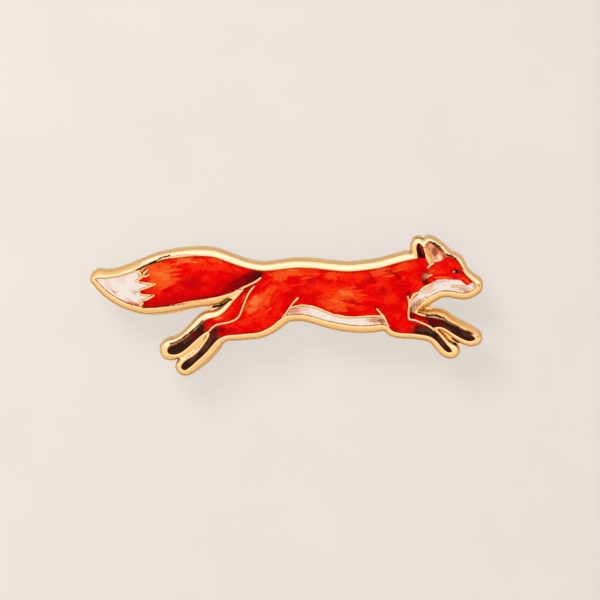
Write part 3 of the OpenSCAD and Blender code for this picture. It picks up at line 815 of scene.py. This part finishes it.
def build_webs():
    """Metal in the narrow ends of the gaps, a little hollow on top, standing in for the shade and gold
    reflections deep in the gaps.
    """
    for k, places in enumerate(WEBS):
        loop = smoothed(from_face(np.array(places, float)), WEB_STEP)
        if area_of(loop) < 0:
            loop = loop[::-1]
        grid = hex_grid(loop.min(0), loop.max(0), WEB_MESH)
        grid = grid[inside(grid, [loop]) & (distance(grid, *pairs([loop])) > 0.04)]
        flat, tris = triangulated([loop], grid)
        tris = trimmed(flat, tris, [loop])
        edge = distance(flat, *pairs([loop]))
        top = WEB_TOP - WEB_HOLLOW * (1 - np.exp(-edge / 0.1))
        verts, faces, smooth = slab(flat, tris, top, WEB_FOOT)
        piece = build("gap_shade_web_%d" % k, verts, faces, [WALL], None, smooth)
        number_layer(piece, "across", np.tile(edge * 0.3 - 0.2, 2))
        # Painted shade and painted gold reflection on the web
        number_layer(piece, "painted_shade", streaked(verts, SHADE_STREAKS, 0.6))
        number_layer(piece, "gold_reflection_and_flecks", np.full(len(verts), WEB_REFLECTED_GOLD))


# Enamel

COARSE_MESH, BORDER_STEP, ENAMEL_CELL = 0.125, 0.12, 0.03
FIELD_RINGS = np.array([0.05, 0.11])
ENAMEL_SWELL, MENISCUS = 0.02, 0.12
WHITE_GRAIN, COLOUR_GRAIN = 0.3, 0.8
# Finer mesh for the head and forelegs, and for the zigzag before the tail's tip
HEAD_X, HEAD_MESH = 16.5, 0.065
ZIGZAG_LOW, ZIGZAG_HIGH, ZIGZAG_MESH = (-19.6, 0.5), (-15.8, 6.2), 0.085


def loose_borders():
    """Points along the borders between two fields that no line covers."""
    found = []
    for n in FIELDS:
        if n == "coat_enamel":
            continue
        for loop in FIELD_LOOPS[n]:
            near = clear_of_metal(loop) < 0.08
            for i in range(len(loop)):
                j = (i + 1) % len(loop)
                if not (near[i] and near[j]):
                    count = max(1, int(np.hypot(*(loop[j] - loop[i])) / BORDER_STEP))
                    found += [loop[i] + (loop[j] - loop[i]) * k / count for k in range(count + 1)]
    return np.array(found)


def enamel_points():
    head = hex_grid((HEAD_X, 0), HIGH, HEAD_MESH)
    zigzag = hex_grid(ZIGZAG_LOW, ZIGZAG_HIGH, ZIGZAG_MESH)
    coarse = hex_grid(LOW, HIGH, COARSE_MESH)
    grid = np.concatenate([head, zigzag, coarse[(coarse[:, 0] < HEAD_X) | (coarse[:, 1] < 0)]])
    grid = grid[inside(grid, PICTURE)]
    grid = grid[clear_of_metal(grid) > 0.07]
    along = np.concatenate([all_rings(PICTURE, FIELD_RINGS), all_rings(LINES, -FIELD_RINGS)])
    along = along[inside(along, PICTURE) & ~inside(along, LINES)]
    free = thinned(np.concatenate([loose_borders(), along, grid]), ENAMEL_CELL)
    return free[clear_of_metal(free) > 0.02]


def field_numbers(centres):
    """The field that each triangle belongs to, or else the nearest one."""
    owner = np.full(len(centres), -1)
    for k, n in enumerate(FIELDS):
        owner[inside(centres, FIELD_LOOPS[n]) & (owner < 0)] = k
    rest = np.where(owner < 0)[0]
    gaps = np.array([distance(centres[rest], *pairs(FIELD_LOOPS[n])) for n in FIELDS])
    owner[rest] = gaps.argmin(0)
    return owner


def build_enamel():
    """Every field of enamel, slightly raised where it meets the metal."""
    flat, tris = triangulated(PICTURE + LINES, enamel_points())
    centres = flat[tris].mean(1)
    tris = tris[inside(centres, PICTURE) & ~inside(centres, LINES)]
    owner = field_numbers(flat[tris].mean(1))
    edge = clear_of_metal(flat)
    swell = layered(*flat.T, size=1.8, seed=5, depth=3) - 0.5
    z = np.minimum(ENAMEL_TOP + ENAMEL_SWELL * (np.exp(-edge / MENISCUS) + swell - 1), ENAMEL_TOP)
    paint = painted(flat, edge)
    for k, n in enumerate(FIELDS):
        used, numbers = np.unique(tris[owner == k], return_inverse=True)
        verts, faces, smooth = slab(flat[used], numbers.reshape(-1, 3), z[used], ENAMEL_FOOT)
        slot_name = next(s["material_slot"] for s in frame["record"]["subparts"] if s["node"] == n)
        material = enamel_material(n, WHITE_GRAIN if slot_name == "white_enamel" else COLOUR_GRAIN)
        piece = build(n + "_paint", verts, faces, [material], None, smooth)
        colour_layer(piece, "paint", np.tile(paint[used], (2, 1)))
        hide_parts(n)


# Paint

def tint(r, g, b):
    """Linear light of a screen colour."""
    return np.array([((c / 255 + 0.055) / 1.055) ** 2.4 if c > 10 else c / 255 / 12.92 for c in (r, g, b)])


RED = tint(238, 4, 3)
BRIGHT = tint(252, 44, 12)
ORANGE = tint(255, 88, 26)
PALE_ORANGE = tint(255, 120, 52)
DEEP = tint(196, 2, 7)
MAROON = tint(108, 2, 8)
WINE = tint(70, 4, 10)
WHITE = tint(242, 231, 219)
BLUSH = tint(234, 186, 162)
ROSE = tint(212, 134, 98)
RUST = tint(228, 118, 84)
UMBER = tint(158, 76, 44)
EDGE_SHADE_OCHRE = tint(178, 118, 78)
BROWN = tint(46, 25, 19)
COCOA = tint(90, 54, 40)
SMOKE = tint(188, 186, 180)
AMBER = tint(176, 118, 44)
HAZE = tint(232, 190, 120)
SALMON = tint(224, 150, 120)
PEARL = tint(240, 208, 192)
EAR_BLACK = tint(24, 8, 6)
IRIS = tint(205, 132, 58)
PUPIL = tint(12, 8, 5)
GLINT = tint(110, 96, 44)

# Strokes of each colour: right, down, half length, half width, turn in degrees clockwise, strength
COAT_STROKES = [
    (ORANGE, [(72, 45, 11, 9, 0, .95), (84, 44, 10, 6, 0, .9), (84, 55, 12, 5, 0, .9),
     (76, 58, 9, 5, 0, .8), (118, 37, 8, 3, 0, .5), (137, 36, 8, 3, 15, .6), (200, 50, 10, 6, -20, .8),
     (216, 48, 13, 4, 0, .85), (208, 49, 7, 3, 0, .6), (252, 50, 9, 4, 0, .6), (262, 70, 15, 6, 5, .8),
     (254, 80, 14, 6, 10, .7), (322, 42, 8, 4, -20, .7), (190, 66, 10, 4, -35, .5),
     (178, 78, 13, 8, -30, .6), (92, 40, 8, 1.3, -8, .9), (95, 45, 7, 1.1, -5, .9),
     (92, 50, 9, 1.4, -9, .9), (95, 54, 6, .9, -6, .9), (89, 58, 8, 1.3, -14, .9),
     (85, 62, 6, 1.1, -24, .9), (80, 65, 5, 1, -35, .8), (229, 44, 10, 1.1, 4, .8),
     (233, 49, 9, 1, 0, .8), (226, 53, 8, 1, -6, .7), (277, 66, 7, 1.6, 0, .5), (279, 70, 8, 1.6, 3, .5),
     (274, 75, 9, 1.6, 6, .5), (268, 80, 9, 1.8, 8, .6), (262, 85, 7, 1.5, 10, .6),
     (270, 63, 8, 1.5, -4, .5), (244, 71, 8, 1.6, -10, .5), (246, 77, 8, 1.6, 20, .6),
     (316, 46, 7, 1, -14, .9), (309, 51, 8, 1, -10, .8), (304, 44, 8, 1, -4, .8),
     (186, 68, 7, 1.1, -50, .8), (188, 76, 6, 1, -60, .8), (166, 82, 6, 1.1, -60, .8),
     (163, 74, 6, 1, -70, .7), (178, 90, 7, 1.1, -20, .7), (188, 86, 6, 1, -40, .7)]),
    (PALE_ORANGE, [(81, 50, 9, 3, 10, .7), (104, 35, 9, 3.2, -5, .7), (175, 76, 8, 6, -50, .9),
     (172, 85, 6, 3, -30, .75), (300, 47, 12, 4, -8, .35), (264, 68, 9, 2.6, 8, .6),
     (138, 93, 6, 2.2, -20, .7), (88, 46, 8, .9, -6, .7), (86, 54, 7, .8, -10, .7),
     (113, 37, 7, .9, 4, .7), (256, 76, 9, 1.2, 12, .7), (212, 45, 8, 1.2, -4, .6)]),
    (BRIGHT, [(126, 42, 20, 3.5, 5, .8), (160, 41, 9, 1.1, 12, .7), (150, 47, 12, 1.2, 14, .6),
     (186, 58, 9, 1.2, -40, .6), (196, 72, 9, 1.2, -60, .6), (218, 60, 12, 1.2, -6, .6),
     (296, 60, 10, 1.2, -12, .6), (288, 74, 9, 1.2, 8, .6), (322, 54, 8, 1.1, -40, .6),
     (334, 60, 7, 1, -60, .5), (306, 90, 8, 1.2, -30, .5), (352, 43, 8, 1, -24, .6),
     (146, 42, 7, 3, 20, .8), (158, 45, 6, 3, 20, .7), (74, 66, 7, 4, 0, .8), (66, 73, 5, 3, 0, .6),
     (145, 87, 8, 4, -40, .8), (165, 97, 6, 4, 0, .7), (180, 90, 10, 6, 0, .7), (205, 63, 6, 4, 0, .7),
     (229, 47, 9, 4, 0, .7), (266, 51, 12, 4, 0, .8), (281, 52, 8, 4, 0, .7), (249, 68, 10, 4, 0, .7),
     (245, 77, 9, 6, 0, .6), (280, 83, 8, 3, 0, .7), (312, 45, 8, 4, -10, .6), (330, 41, 9, 5, -25, .7),
     (310, 75, 8, 6, 0, .5), (240, 62, 12, 5, 10, .4), (357, 45, 7, 3, 10, .35),
     (352, 47, 4, 2.5, 0, .5), (366, 44, 5, 3, 0, .2), (225, 66, 8, 4, 0, .35)]),
    (DEEP, [(112, 58, 18, 8, 0, .85), (100, 76, 44, 8, -7, .85), (148, 62, 26, 9, -20, .8),
     (160, 50, 12, 5, 0, .55), (68, 79, 9, 4, 0, .8), (163, 80, 10, 2.6, -75, .7),
     (128, 98, 7, 4, -20, .6), (175, 108, 24, 4, -5, .6), (150, 106, 11, 4, 0, .8),
     (232, 56, 7, 4, 0, .7), (211, 70, 6, 5, 0, .7), (291, 55, 6, 4, 0, .7), (281, 62, 6, 4, 0, .7),
     (302, 67, 8, 6, 0, .7), (272, 76, 9, 4, 5, .85), (207, 86, 4, 9, 0, .6), (341, 52, 5, 5, 0, .6),
     (325, 71, 5, 5, 0, .6), (318, 62, 8, 5, 0, .4), (312, 105, 12, 3, 4, .8), (335, 99, 7, 3.5, 15, .7),
     (236, 72, 8, 5, 0, .4), (95, 66, 14, 5, -5, .4), (330, 90, 6, 6, 0, .35), (386, 52, 5, 1.6, 40, .4)]),
    (MAROON, [(164, 56, 22, 7.5, -27, .7), (172, 53, 15, 7, -22, .8), (176, 51, 10, 5, -15, .8),
     (150, 64, 20, 3, -24, .5), (128, 72, 24, 2, -9, .5), (166, 63, 6, 4, -60, .6),
     (120, 104, 7, 4, -50, .9), (141, 105, 7, 4, 30, .8), (345, 57, 4, 5, 0, .8),
     (297, 83, 5, 2.5, 30, .6), (345, 50, 2, 6, 20, .6), (352, 95, 9, 3, 20, .9),
     (345, 91, 6, 2.5, 20, .5), (338, 102, 4, 3, 20, .7), (308.5, 106, 8, 1.2, 4, .5),
     (384, 49, 2, 1, 40, .5), (328, 69, 2.6, 3.4, 0, .6), (340, 92, 12, 1.3, 22, .7)]),
    (WINE, [(178, 50, 7, 3.4, -10, .9), (172, 55, 8, 2.6, -28, .6), (346, 58, 2.4, 3, 0, .6),
     (328, 68, 1.6, 2.2, 0, .7)]),
]
WHITE_STROKES = [
    (SMOKE, [(54.5, 67.3, 4.4, 2.2, 0, .85), (57, 71.4, 3, 1, 0, .4), (50, 64, 4, 2, 0, .2),
     (44, 47, 8, 1.2, -12, .3)]),
    (BLUSH, [(41, 55, 5, 4, 0, .4), (34, 66, 4, 2, 30, .6), (49, 76, 9, 2.6, 26, .7),
     (222, 84, 8, 4, 0, .8), (228, 88, 4, 2, 10, .5), (290, 94, 6, 4, 0, .7), (335, 80, 6, 8, -30, .7),
     (352, 60, 8, 2.5, -25, .5), (346, 66, 5, 3, -30, .5), (366, 56, 6, 1.2, 5, .6),
     (382, 62, 6, 2, 10, .5), (244, 86, 4, 2, 0, .3), (27, 58, 8, 1.6, 50, .4)]),
    (ROSE, [(33.4, 67, 2.4, 1, 32, .8), (212, 86, 9, 4.5, 0, .85), (296, 95, 7, 4.5, 0, .85),
     (332, 85, 4, 8, 15, .8), (54, 79, 6, 1.5, 10, .8), (384, 65.6, 8, 2, 18, .5),
     (376, 65, 5, 1, 0, .3), (30, 64.6, 10, .7, 42, .5), (219, 88.6, 6, 1.2, 0, .6),
     (338, 76, 3, 5, 30, .3)]),
    (RUST, [(51, 78, 5, 1.3, 14, .7), (57, 79.6, 3, 1.6, 10, .8)]),
    (UMBER, [(206, 88, 4, 3, -30, .8), (302, 96.6, 5, 4, 0, .85), (330, 88, 2, 5, 0, .8),
     (386, 66.6, 4, .9, 20, .6), (57, 80.5, 3, 1.2, 10, .7), (393, 61.5, 1.8, 1.2, 40, .5),
     (226, 81.4, 10, .7, 4, .5), (331, 93, 3, 2, 0, .8)]),
]
DARK_STROKES = [
    (COCOA, [(95, 119, 8, 2, -25, .7), (108, 113, 8, 2.4, -35, .8), (112, 134, 8, 2, -45, .7),
     (125, 122, 9, 2.6, -50, .8), (131, 112, 6, 3, -50, .7), (346, 105, 10, 2.8, 8, .75),
     (361, 115, 7, 2, 55, .6), (368, 103, 9, 1.6, 25, .6), (386, 110, 8, 1.4, 25, .6)]),
    (MAROON, [(112, 111, 7, 3, -40, .7), (134, 108, 5, 4, -40, .5), (338, 103.5, 4, 3, 10, .5),
     (361, 97, 5, 2.6, 25, .6), (354, 96, 7, 3.6, 20, .85)]),
]
EAR_STROKES = [
    (SALMON, [(352, 22, 5, 3, 45, .8), (357, 31, 5, 4, 50, .9), (351, 31, 3, 6, 10, .7)]),
    (UMBER, [(353.6, 27, 5.4, 3.2, 80, .95), (354.2, 29.6, 3, 1.8, 80, .5)]),
    (PEARL, [(358.8, 32.4, 3.4, 2, 60, .9), (356, 35.6, 4, 1.4, 0, .6)]),
    (BROWN, [(354.6, 21.8, 10, .9, 40, .9), (347.4, 24, 7, .6, 80, .6), (350, 36, 4, .5, 66, .7),
     (358, 37.6, 6, 1.1, -14, .95), (363.4, 31.6, 4, 1.1, 55, .85)]),
    (ORANGE, [(360.6, 28.4, 4.4, .8, 46, .9), (362, 34.4, 2, 1.2, -60, .9), (349.9, 31, 3, .5, 60, .5)]),
    (HAZE, [(347.4, 28, 8, 1, 80, .9), (350.4, 35, 4, .9, 66, .9), (352.2, 33, 2.4, .6, -40, .6)]),
]
FAR_EAR_STROKES = [
    (EAR_BLACK, [(340, 26, 9, 5, 70, 1)]),
    (DEEP, [(340.6, 24.4, 5, 1.1, 66, .95), (342.4, 28, 3, .9, 70, .8)]),
]
EYE_STROKES = [
    (BROWN, [(375.4, 46.7, 4.6, 2.2, 2, 1), (380.6, 48, 3, .8, 24, .8), (370.8, 46.9, 1.8, .8, -10, .7)]),
    (IRIS, [(373.2, 47, 1.5, 1.2, 0, 1)]),
    (HAZE, [(373, 46.5, .7, .5, 0, .8)]),
    (PUPIL, [(376.3, 46.3, 2.1, 1.6, 0, 1)]),
    (GLINT, [(377.6, 47, .8, .5, 0, .7)]),
]
LATE_STROKES = [
    (MAROON, [(332, 91.4, 4, 2.6, 0, .8), (331, 88.4, 2, 2, 0, .9), (339, 91.6, 5, 1.6, 14, .6)]),
    (UMBER, [(331, 85, 1.8, 3.4, 0, .8), (333, 80, 2, 4, 20, .5)]),
    (PALE_ORANGE, [(362, 52.8, 10, 1.3, 1, .6), (351, 46.4, 5, 1, -20, .3)]),
    (ORANGE, [(386, 56.2, 5.4, 1.5, 46, .8), (381, 53.4, 3, 1, 20, .5), (357, 48, 7, 1.2, -8, .3)]),
    (UMBER, [(344.6, 51, 4.4, 2.6, -50, .8), (338, 78, 5, 2.2, -52, .8), (335.5, 71, 4, 1.4, -50, .5)]),
    (ROSE, [(344.6, 50.8, 3, 1.4, -60, .7), (358, 57, 6, 1, -12, .5), (352, 66, 5, 1.1, -35, .5)]),
    (BRIGHT, [(361.5, 57, 4, .6, -10, .4), (363, 60.4, 4, .5, 25, .3), (349.6, 64, 4, .7, -35, .5)]),
    (AMBER, [(347.6, 51.4, 4.4, 1.6, -30, 1), (338, 78, 4.4, 1.5, -52, 1), (336, 70, 4, 1.1, -45, .7)]),
    (HAZE, [(348.4, 50.8, 3.4, 1, -30, .9), (338.4, 77.4, 3.4, .8, -52, .9),
     (61.5, 45.4, 5, 1, -38, .95), (64.5, 47.6, 5, 1, -38, .9), (59.6, 49.6, 4, 1, -38, .8),
     (70, 60.6, 4.4, .9, 2, .7), (68.5, 71.4, 4.4, .9, 4, .7)]),
    (BROWN, [(343.6, 55.6, 3, .7, -10, .7), (346.4, 47.6, 3, .5, -35, .6), (63, 46.6, 5, .6, -38, .9),
     (61.8, 49.6, 3.4, .9, -38, .9), (66.4, 46.4, 3, .6, -38, .7), (59, 46, 2.4, .6, -38, .6),
     (72.6, 59.4, 1.5, .9, 10, 1), (71.4, 70.5, 1.5, .9, 10, 1), (60.6, 57, 1.2, .8, 10, .9)]),
]
# The coat's first rows of strokes are ragged, the darker ones after them smoother
COAT_RAGGED = 3
# A fine dark crease on the shoulder
SHOULDER_CREASE = [(306, 46), (310, 46.6), (315, 49), (319, 53), (321, 57)]
# Border of the face's white below the red, from the cheek to the nose
CHEEK = [
    (344, 66), (349, 60.5), (353, 57), (358, 55.2), (364, 54.4), (371, 54.8), (378, 54.9), (381, 56.2),
    (383.6, 58.6), (385.8, 60.8), (387.2, 60.6), (388.6, 58.6), (390.5, 57.6), (392.5, 58.6), (394, 60.2)
]
CHEEK_START = 352
BIB_END = 87.6


def brushed(rgb, right, down, strokes, rough=1.0, firm=0.62):
    """Lays strokes over the colours, ragged along the brush; firm is where their soft edge starts."""
    for k, (colour, rows) in enumerate(strokes):
        for j, (at, low, long, wide, turn, strength) in enumerate(rows):
            a = math.radians(turn)
            reach = long + wide + 6
            near = (np.abs(right - at) < reach) & (np.abs(down - low) < reach)
            u, v = right[near] - at, down[near] - low
            along, across = u * math.cos(a) + v * math.sin(a), v * math.cos(a) - u * math.sin(a)
            rag = rough * min(1, wide / 3)
            fibre = layered(across, along / 7, size=1.5, seed=57 * k + j, depth=2) - 0.5
            ends = np.sign(along + 1e-9) * (np.abs(along) > long * 0.2)
            along = along + 1.5 * rag * long ** 0.7 * fibre * ends
            across = across + 3 * rag * (layered(u, v, size=5.0, seed=31 * k + j, depth=3) - 0.5)
            bristle = layered(along / 4, across, size=0.9, seed=7 * k + j, depth=3) - 0.5
            cloud = layered(u, v, size=3.4, seed=91 * k + j, depth=3) - 0.5
            r = np.hypot(along / long, across / wide) + rag * (0.9 * bristle + 0.8 * cloud)
            amount = strength * (1 - step_up(firm, 1.1, r))
            rgb[near] += (colour - rgb[near]) * amount[:, None]
    return rgb


def toward(rgb, colour, amount):
    """The colours moved toward another, by an amount for each point."""
    return rgb + (colour - rgb) * amount[:, None]


def coat_paint(right, down, small, hairs):
    """The red fur."""
    mottle = layered(right, down, size=9.0, seed=221) - 0.5
    coat = np.tile(RED, (len(right), 1))
    coat = coat + (BRIGHT - RED) * (0.5 * step_up(0.0, 0.25, mottle + 0.5 * small))[:, None]
    coat = toward(coat, DEEP, 0.5 * step_up(0.02, 0.28, -mottle + 0.4 * small))
    coat = brushed(coat, right, down, COAT_STROKES[:COAT_RAGGED])
    coat = brushed(coat, right, down, COAT_STROKES[COAT_RAGGED:], 0.7, 0.4)
    for crease in zip(SHOULDER_CREASE, SHOULDER_CREASE[1:]):
        d = reach_of(right, down, crease, 0.03)
        coat = toward(coat, MAROON, 0.5 * (1 - step_up(0.2, 2.2, d + 1.6 * small)))
    return coat * (1.03 + 0.30 * hairs + 0.22 * small)[:, None]


def painted(p, edge):
    """Colour of the paint at each point, in linear light, with painted shade next to the metal."""
    right, down = face_units(p)
    field = {n: signed(p, FIELD_LOOPS[n]) for n in FIELDS if n != "coat_enamel"}
    small = layered(right, down, size=3.0, seed=201) - 0.5
    slanting = (right * 0.42 + down * 0.25, down * 1.3 - right * 0.35)
    hairs = layered(*slanting, size=1.6, seed=211, depth=3) - 0.5
    ragged = 0.45 * small + 0.5 * hairs

    def whole(colour, shade=0.0):
        return np.tile(colour, (len(p), 1)) * (1 + shade * np.ones(len(p)))[:, None]

    white = brushed(whole(WHITE, 0.05 * small), right, down, WHITE_STROKES)
    # Painted shade: the white darkens to ochre next to the metal
    white = toward(white, EDGE_SHADE_OCHRE, 0.26 * (1 - step_up(0.02, 0.11, edge + 0.1 * small)))
    dark = brushed(whole(BROWN, 0.5 * (small + hairs)), right, down, DARK_STROKES)
    ear = brushed(whole(ROSE), right, down, EAR_STROKES, 0.4) * 1.25
    far_ear = brushed(whole(BROWN), right, down, FAR_EAR_STROKES, 0.4)
    rgb = coat_paint(right, down, small, hairs)
    # Painted shade: the coat darkens next to the metal rims and lines
    rgb *= 1 - 0.3 * (1 - step_up(0.02, 0.16, edge + 0.12 * small))[:, None]

    cheek = np.interp(right, *zip(*CHEEK))
    below = np.where(right > CHEEK_START, (down - cheek) * UNIT, 1) + 0.35 * ragged
    above = np.where(right < CHEEK_START, (BIB_END - down) * UNIT, 1) + 0.2 * ragged
    bib = np.minimum(field["bib_enamel"] + 0.05, np.minimum(below, above))
    hind = np.maximum(field["far_hind_paw_enamel"], field["near_hind_paw_enamel"])
    fore = np.maximum(field["near_fore_paw_enamel"], field["far_fore_paw_enamel"])
    for colours, depth, soft in (
            (white, field["tail_tip_enamel"], 0.03), (white, field["belly_enamel"], 0.03),
            (white, bib, 0.09), (dark, hind + 0.3 + 0.27 * ragged, 0.5),
            (dark, fore + 0.24 + 0.36 * ragged, 0.4), (ear, field["near_ear_enamel"], 0.04),
            (far_ear, field["far_ear_enamel"], 0.04)):
        rgb = toward(rgb, colours, step_up(-soft, soft, depth))
    rgb = brushed(rgb, right, down, LATE_STROKES, 0.35)
    rgb = brushed(rgb, right, down, EYE_STROKES, 0.15, 0.7)
    return np.clip(rgb, 0.001, 0.95)


# Bar pin

BAR_ROUNDING = 0.12


def build_bar():
    """The bar pin with its edges rounded off."""
    mesh = bmesh.new()
    mesh.from_mesh(frame["nodes"]["bar_pin"].data)
    bmesh.ops.remove_doubles(mesh, verts=mesh.verts, dist=0.002 * MM)
    bmesh.ops.dissolve_limit(mesh, angle_limit=math.radians(1), verts=mesh.verts, edges=mesh.edges)
    sharp = [e for e in mesh.edges if len(e.link_faces) == 2 and e.calc_face_angle() > math.radians(50)]
    bmesh.ops.bevel(mesh, geom=sharp, offset=BAR_ROUNDING * MM, segments=3, profile=0.5,
                    affect="EDGES", clamp_overlap=True)
    bmesh.ops.triangulate(mesh, faces=mesh.faces)
    mesh.verts.index_update()
    verts = np.array([v.co for v in mesh.verts]) / MM
    faces = [[v.index for v in f.verts] for f in mesh.faces]
    mesh.free()
    piece = build("bar_pin_metal", verts, faces, [BAR])
    piece.data.set_sharp_from_angle(angle=math.radians(35))
    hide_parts("bar_pin")


# Studio

FLOOR_HALF = 1.5
FLOOR_DROP = -0.00003
# How the soft boxes look to the gold: dim and warm low down, bright and cool toward BOX_AIM
BOX_AIM = (-0.06, 0.40, 0.915)
BOX_STRETCH = (0.55, 1, 1)
BOX_STOPS = [(0.0, (0.32, 0.23, 0.15)), (0.24, (0.72, 0.57, 0.42)), (0.55, (1.06, 0.88, 0.66)),
             (0.83, (1.12, 0.98, 0.76)), (0.88, (1.4, 1.2, 1.15)), (0.92, (1.7, 1.44, 2.0))]
ROOM_LIGHT = (0.06, 0.058, 0.055, 1)


def area(name, spot, size, radiance, colour):
    """Square lamp that looks at the brooch and that the gold doesn't mirror."""
    data = bpy.data.lights.new(name, "AREA")
    data.shape = "RECTANGLE"
    data.size, data.size_y = size, size
    data.energy = radiance * math.pi * size * size
    data.color = colour
    light = placed(name, data)
    light.location = spot
    light.rotation_euler = (-Vector(spot)).to_track_quat("-Z", "Y").to_euler()
    light.visible_glossy = False
    return light


def add_floor():
    mesh = bpy.data.meshes.new("floor")
    corners = [(x * FLOOR_HALF, y * FLOOR_HALF, 0) for x, y in ((-1, -1), (1, -1), (1, 1), (-1, 1))]
    mesh.from_pydata(corners, [], [(0, 1, 2, 3)])
    floor = placed("floor", mesh)
    m, tree, shader = new_material("floor_paper")
    plug(shader.inputs["Roughness"], 0.9)
    plug(shader.inputs["Specular IOR Level"], 0.1)
    tooth = noise(tree, object_place(tree), PAPER_TOOTH, 4.0)
    paper = ramp(tree, tooth, [(0.3, (0.80, 0.75, 0.71)), (0.7, (0.82, 0.77, 0.73))])
    plug(shader.inputs["Base Color"], paper)
    mesh.materials.append(m)
    floor.location.z = FLOOR_DROP


def add_world():
    """Soft boxes that only the gold mirrors, and an even dim light for all else."""
    world = bpy.data.worlds.new("studio")
    world.use_nodes = True
    tree = world.node_tree
    way = node(tree, "ShaderNodeTexCoord").outputs["Generated"]
    wide = worked(tree, "ShaderNodeVectorMath", "MULTIPLY", (way, BOX_STRETCH))
    unit = worked(tree, "ShaderNodeVectorMath", "NORMALIZE", (wide,))
    aim = Vector(BOX_AIM).normalized()
    facing = worked(tree, "ShaderNodeVectorMath", "DOT_PRODUCT", (unit, aim), "Value")
    path = node(tree, "ShaderNodeLightPath").outputs
    ends = (path["Is Glossy Ray"], path["Diffuse Depth"])
    mirrored = worked(tree, "ShaderNodeMath", "SUBTRACT", ends, use_clamp=True)
    light = mixed(tree, mirrored, ROOM_LIGHT, ramp(tree, facing, BOX_STOPS))
    plug(tree.nodes["Background"].inputs["Color"], light)
    scene.world = world


build_metal()
build_webs()
build_enamel()
build_bar()
add_floor()
area("key", spot=(-0.16, 0.36, 0.33), size=0.2, radiance=3.7, colour=(0.98, 1.0, 1.03))
fill = area("fill", spot=(-0.4, 0.0, 1.2), size=0.8, radiance=8.15, colour=(1, 0.972, 0.94))
fill.data.use_shadow = False
add_world()
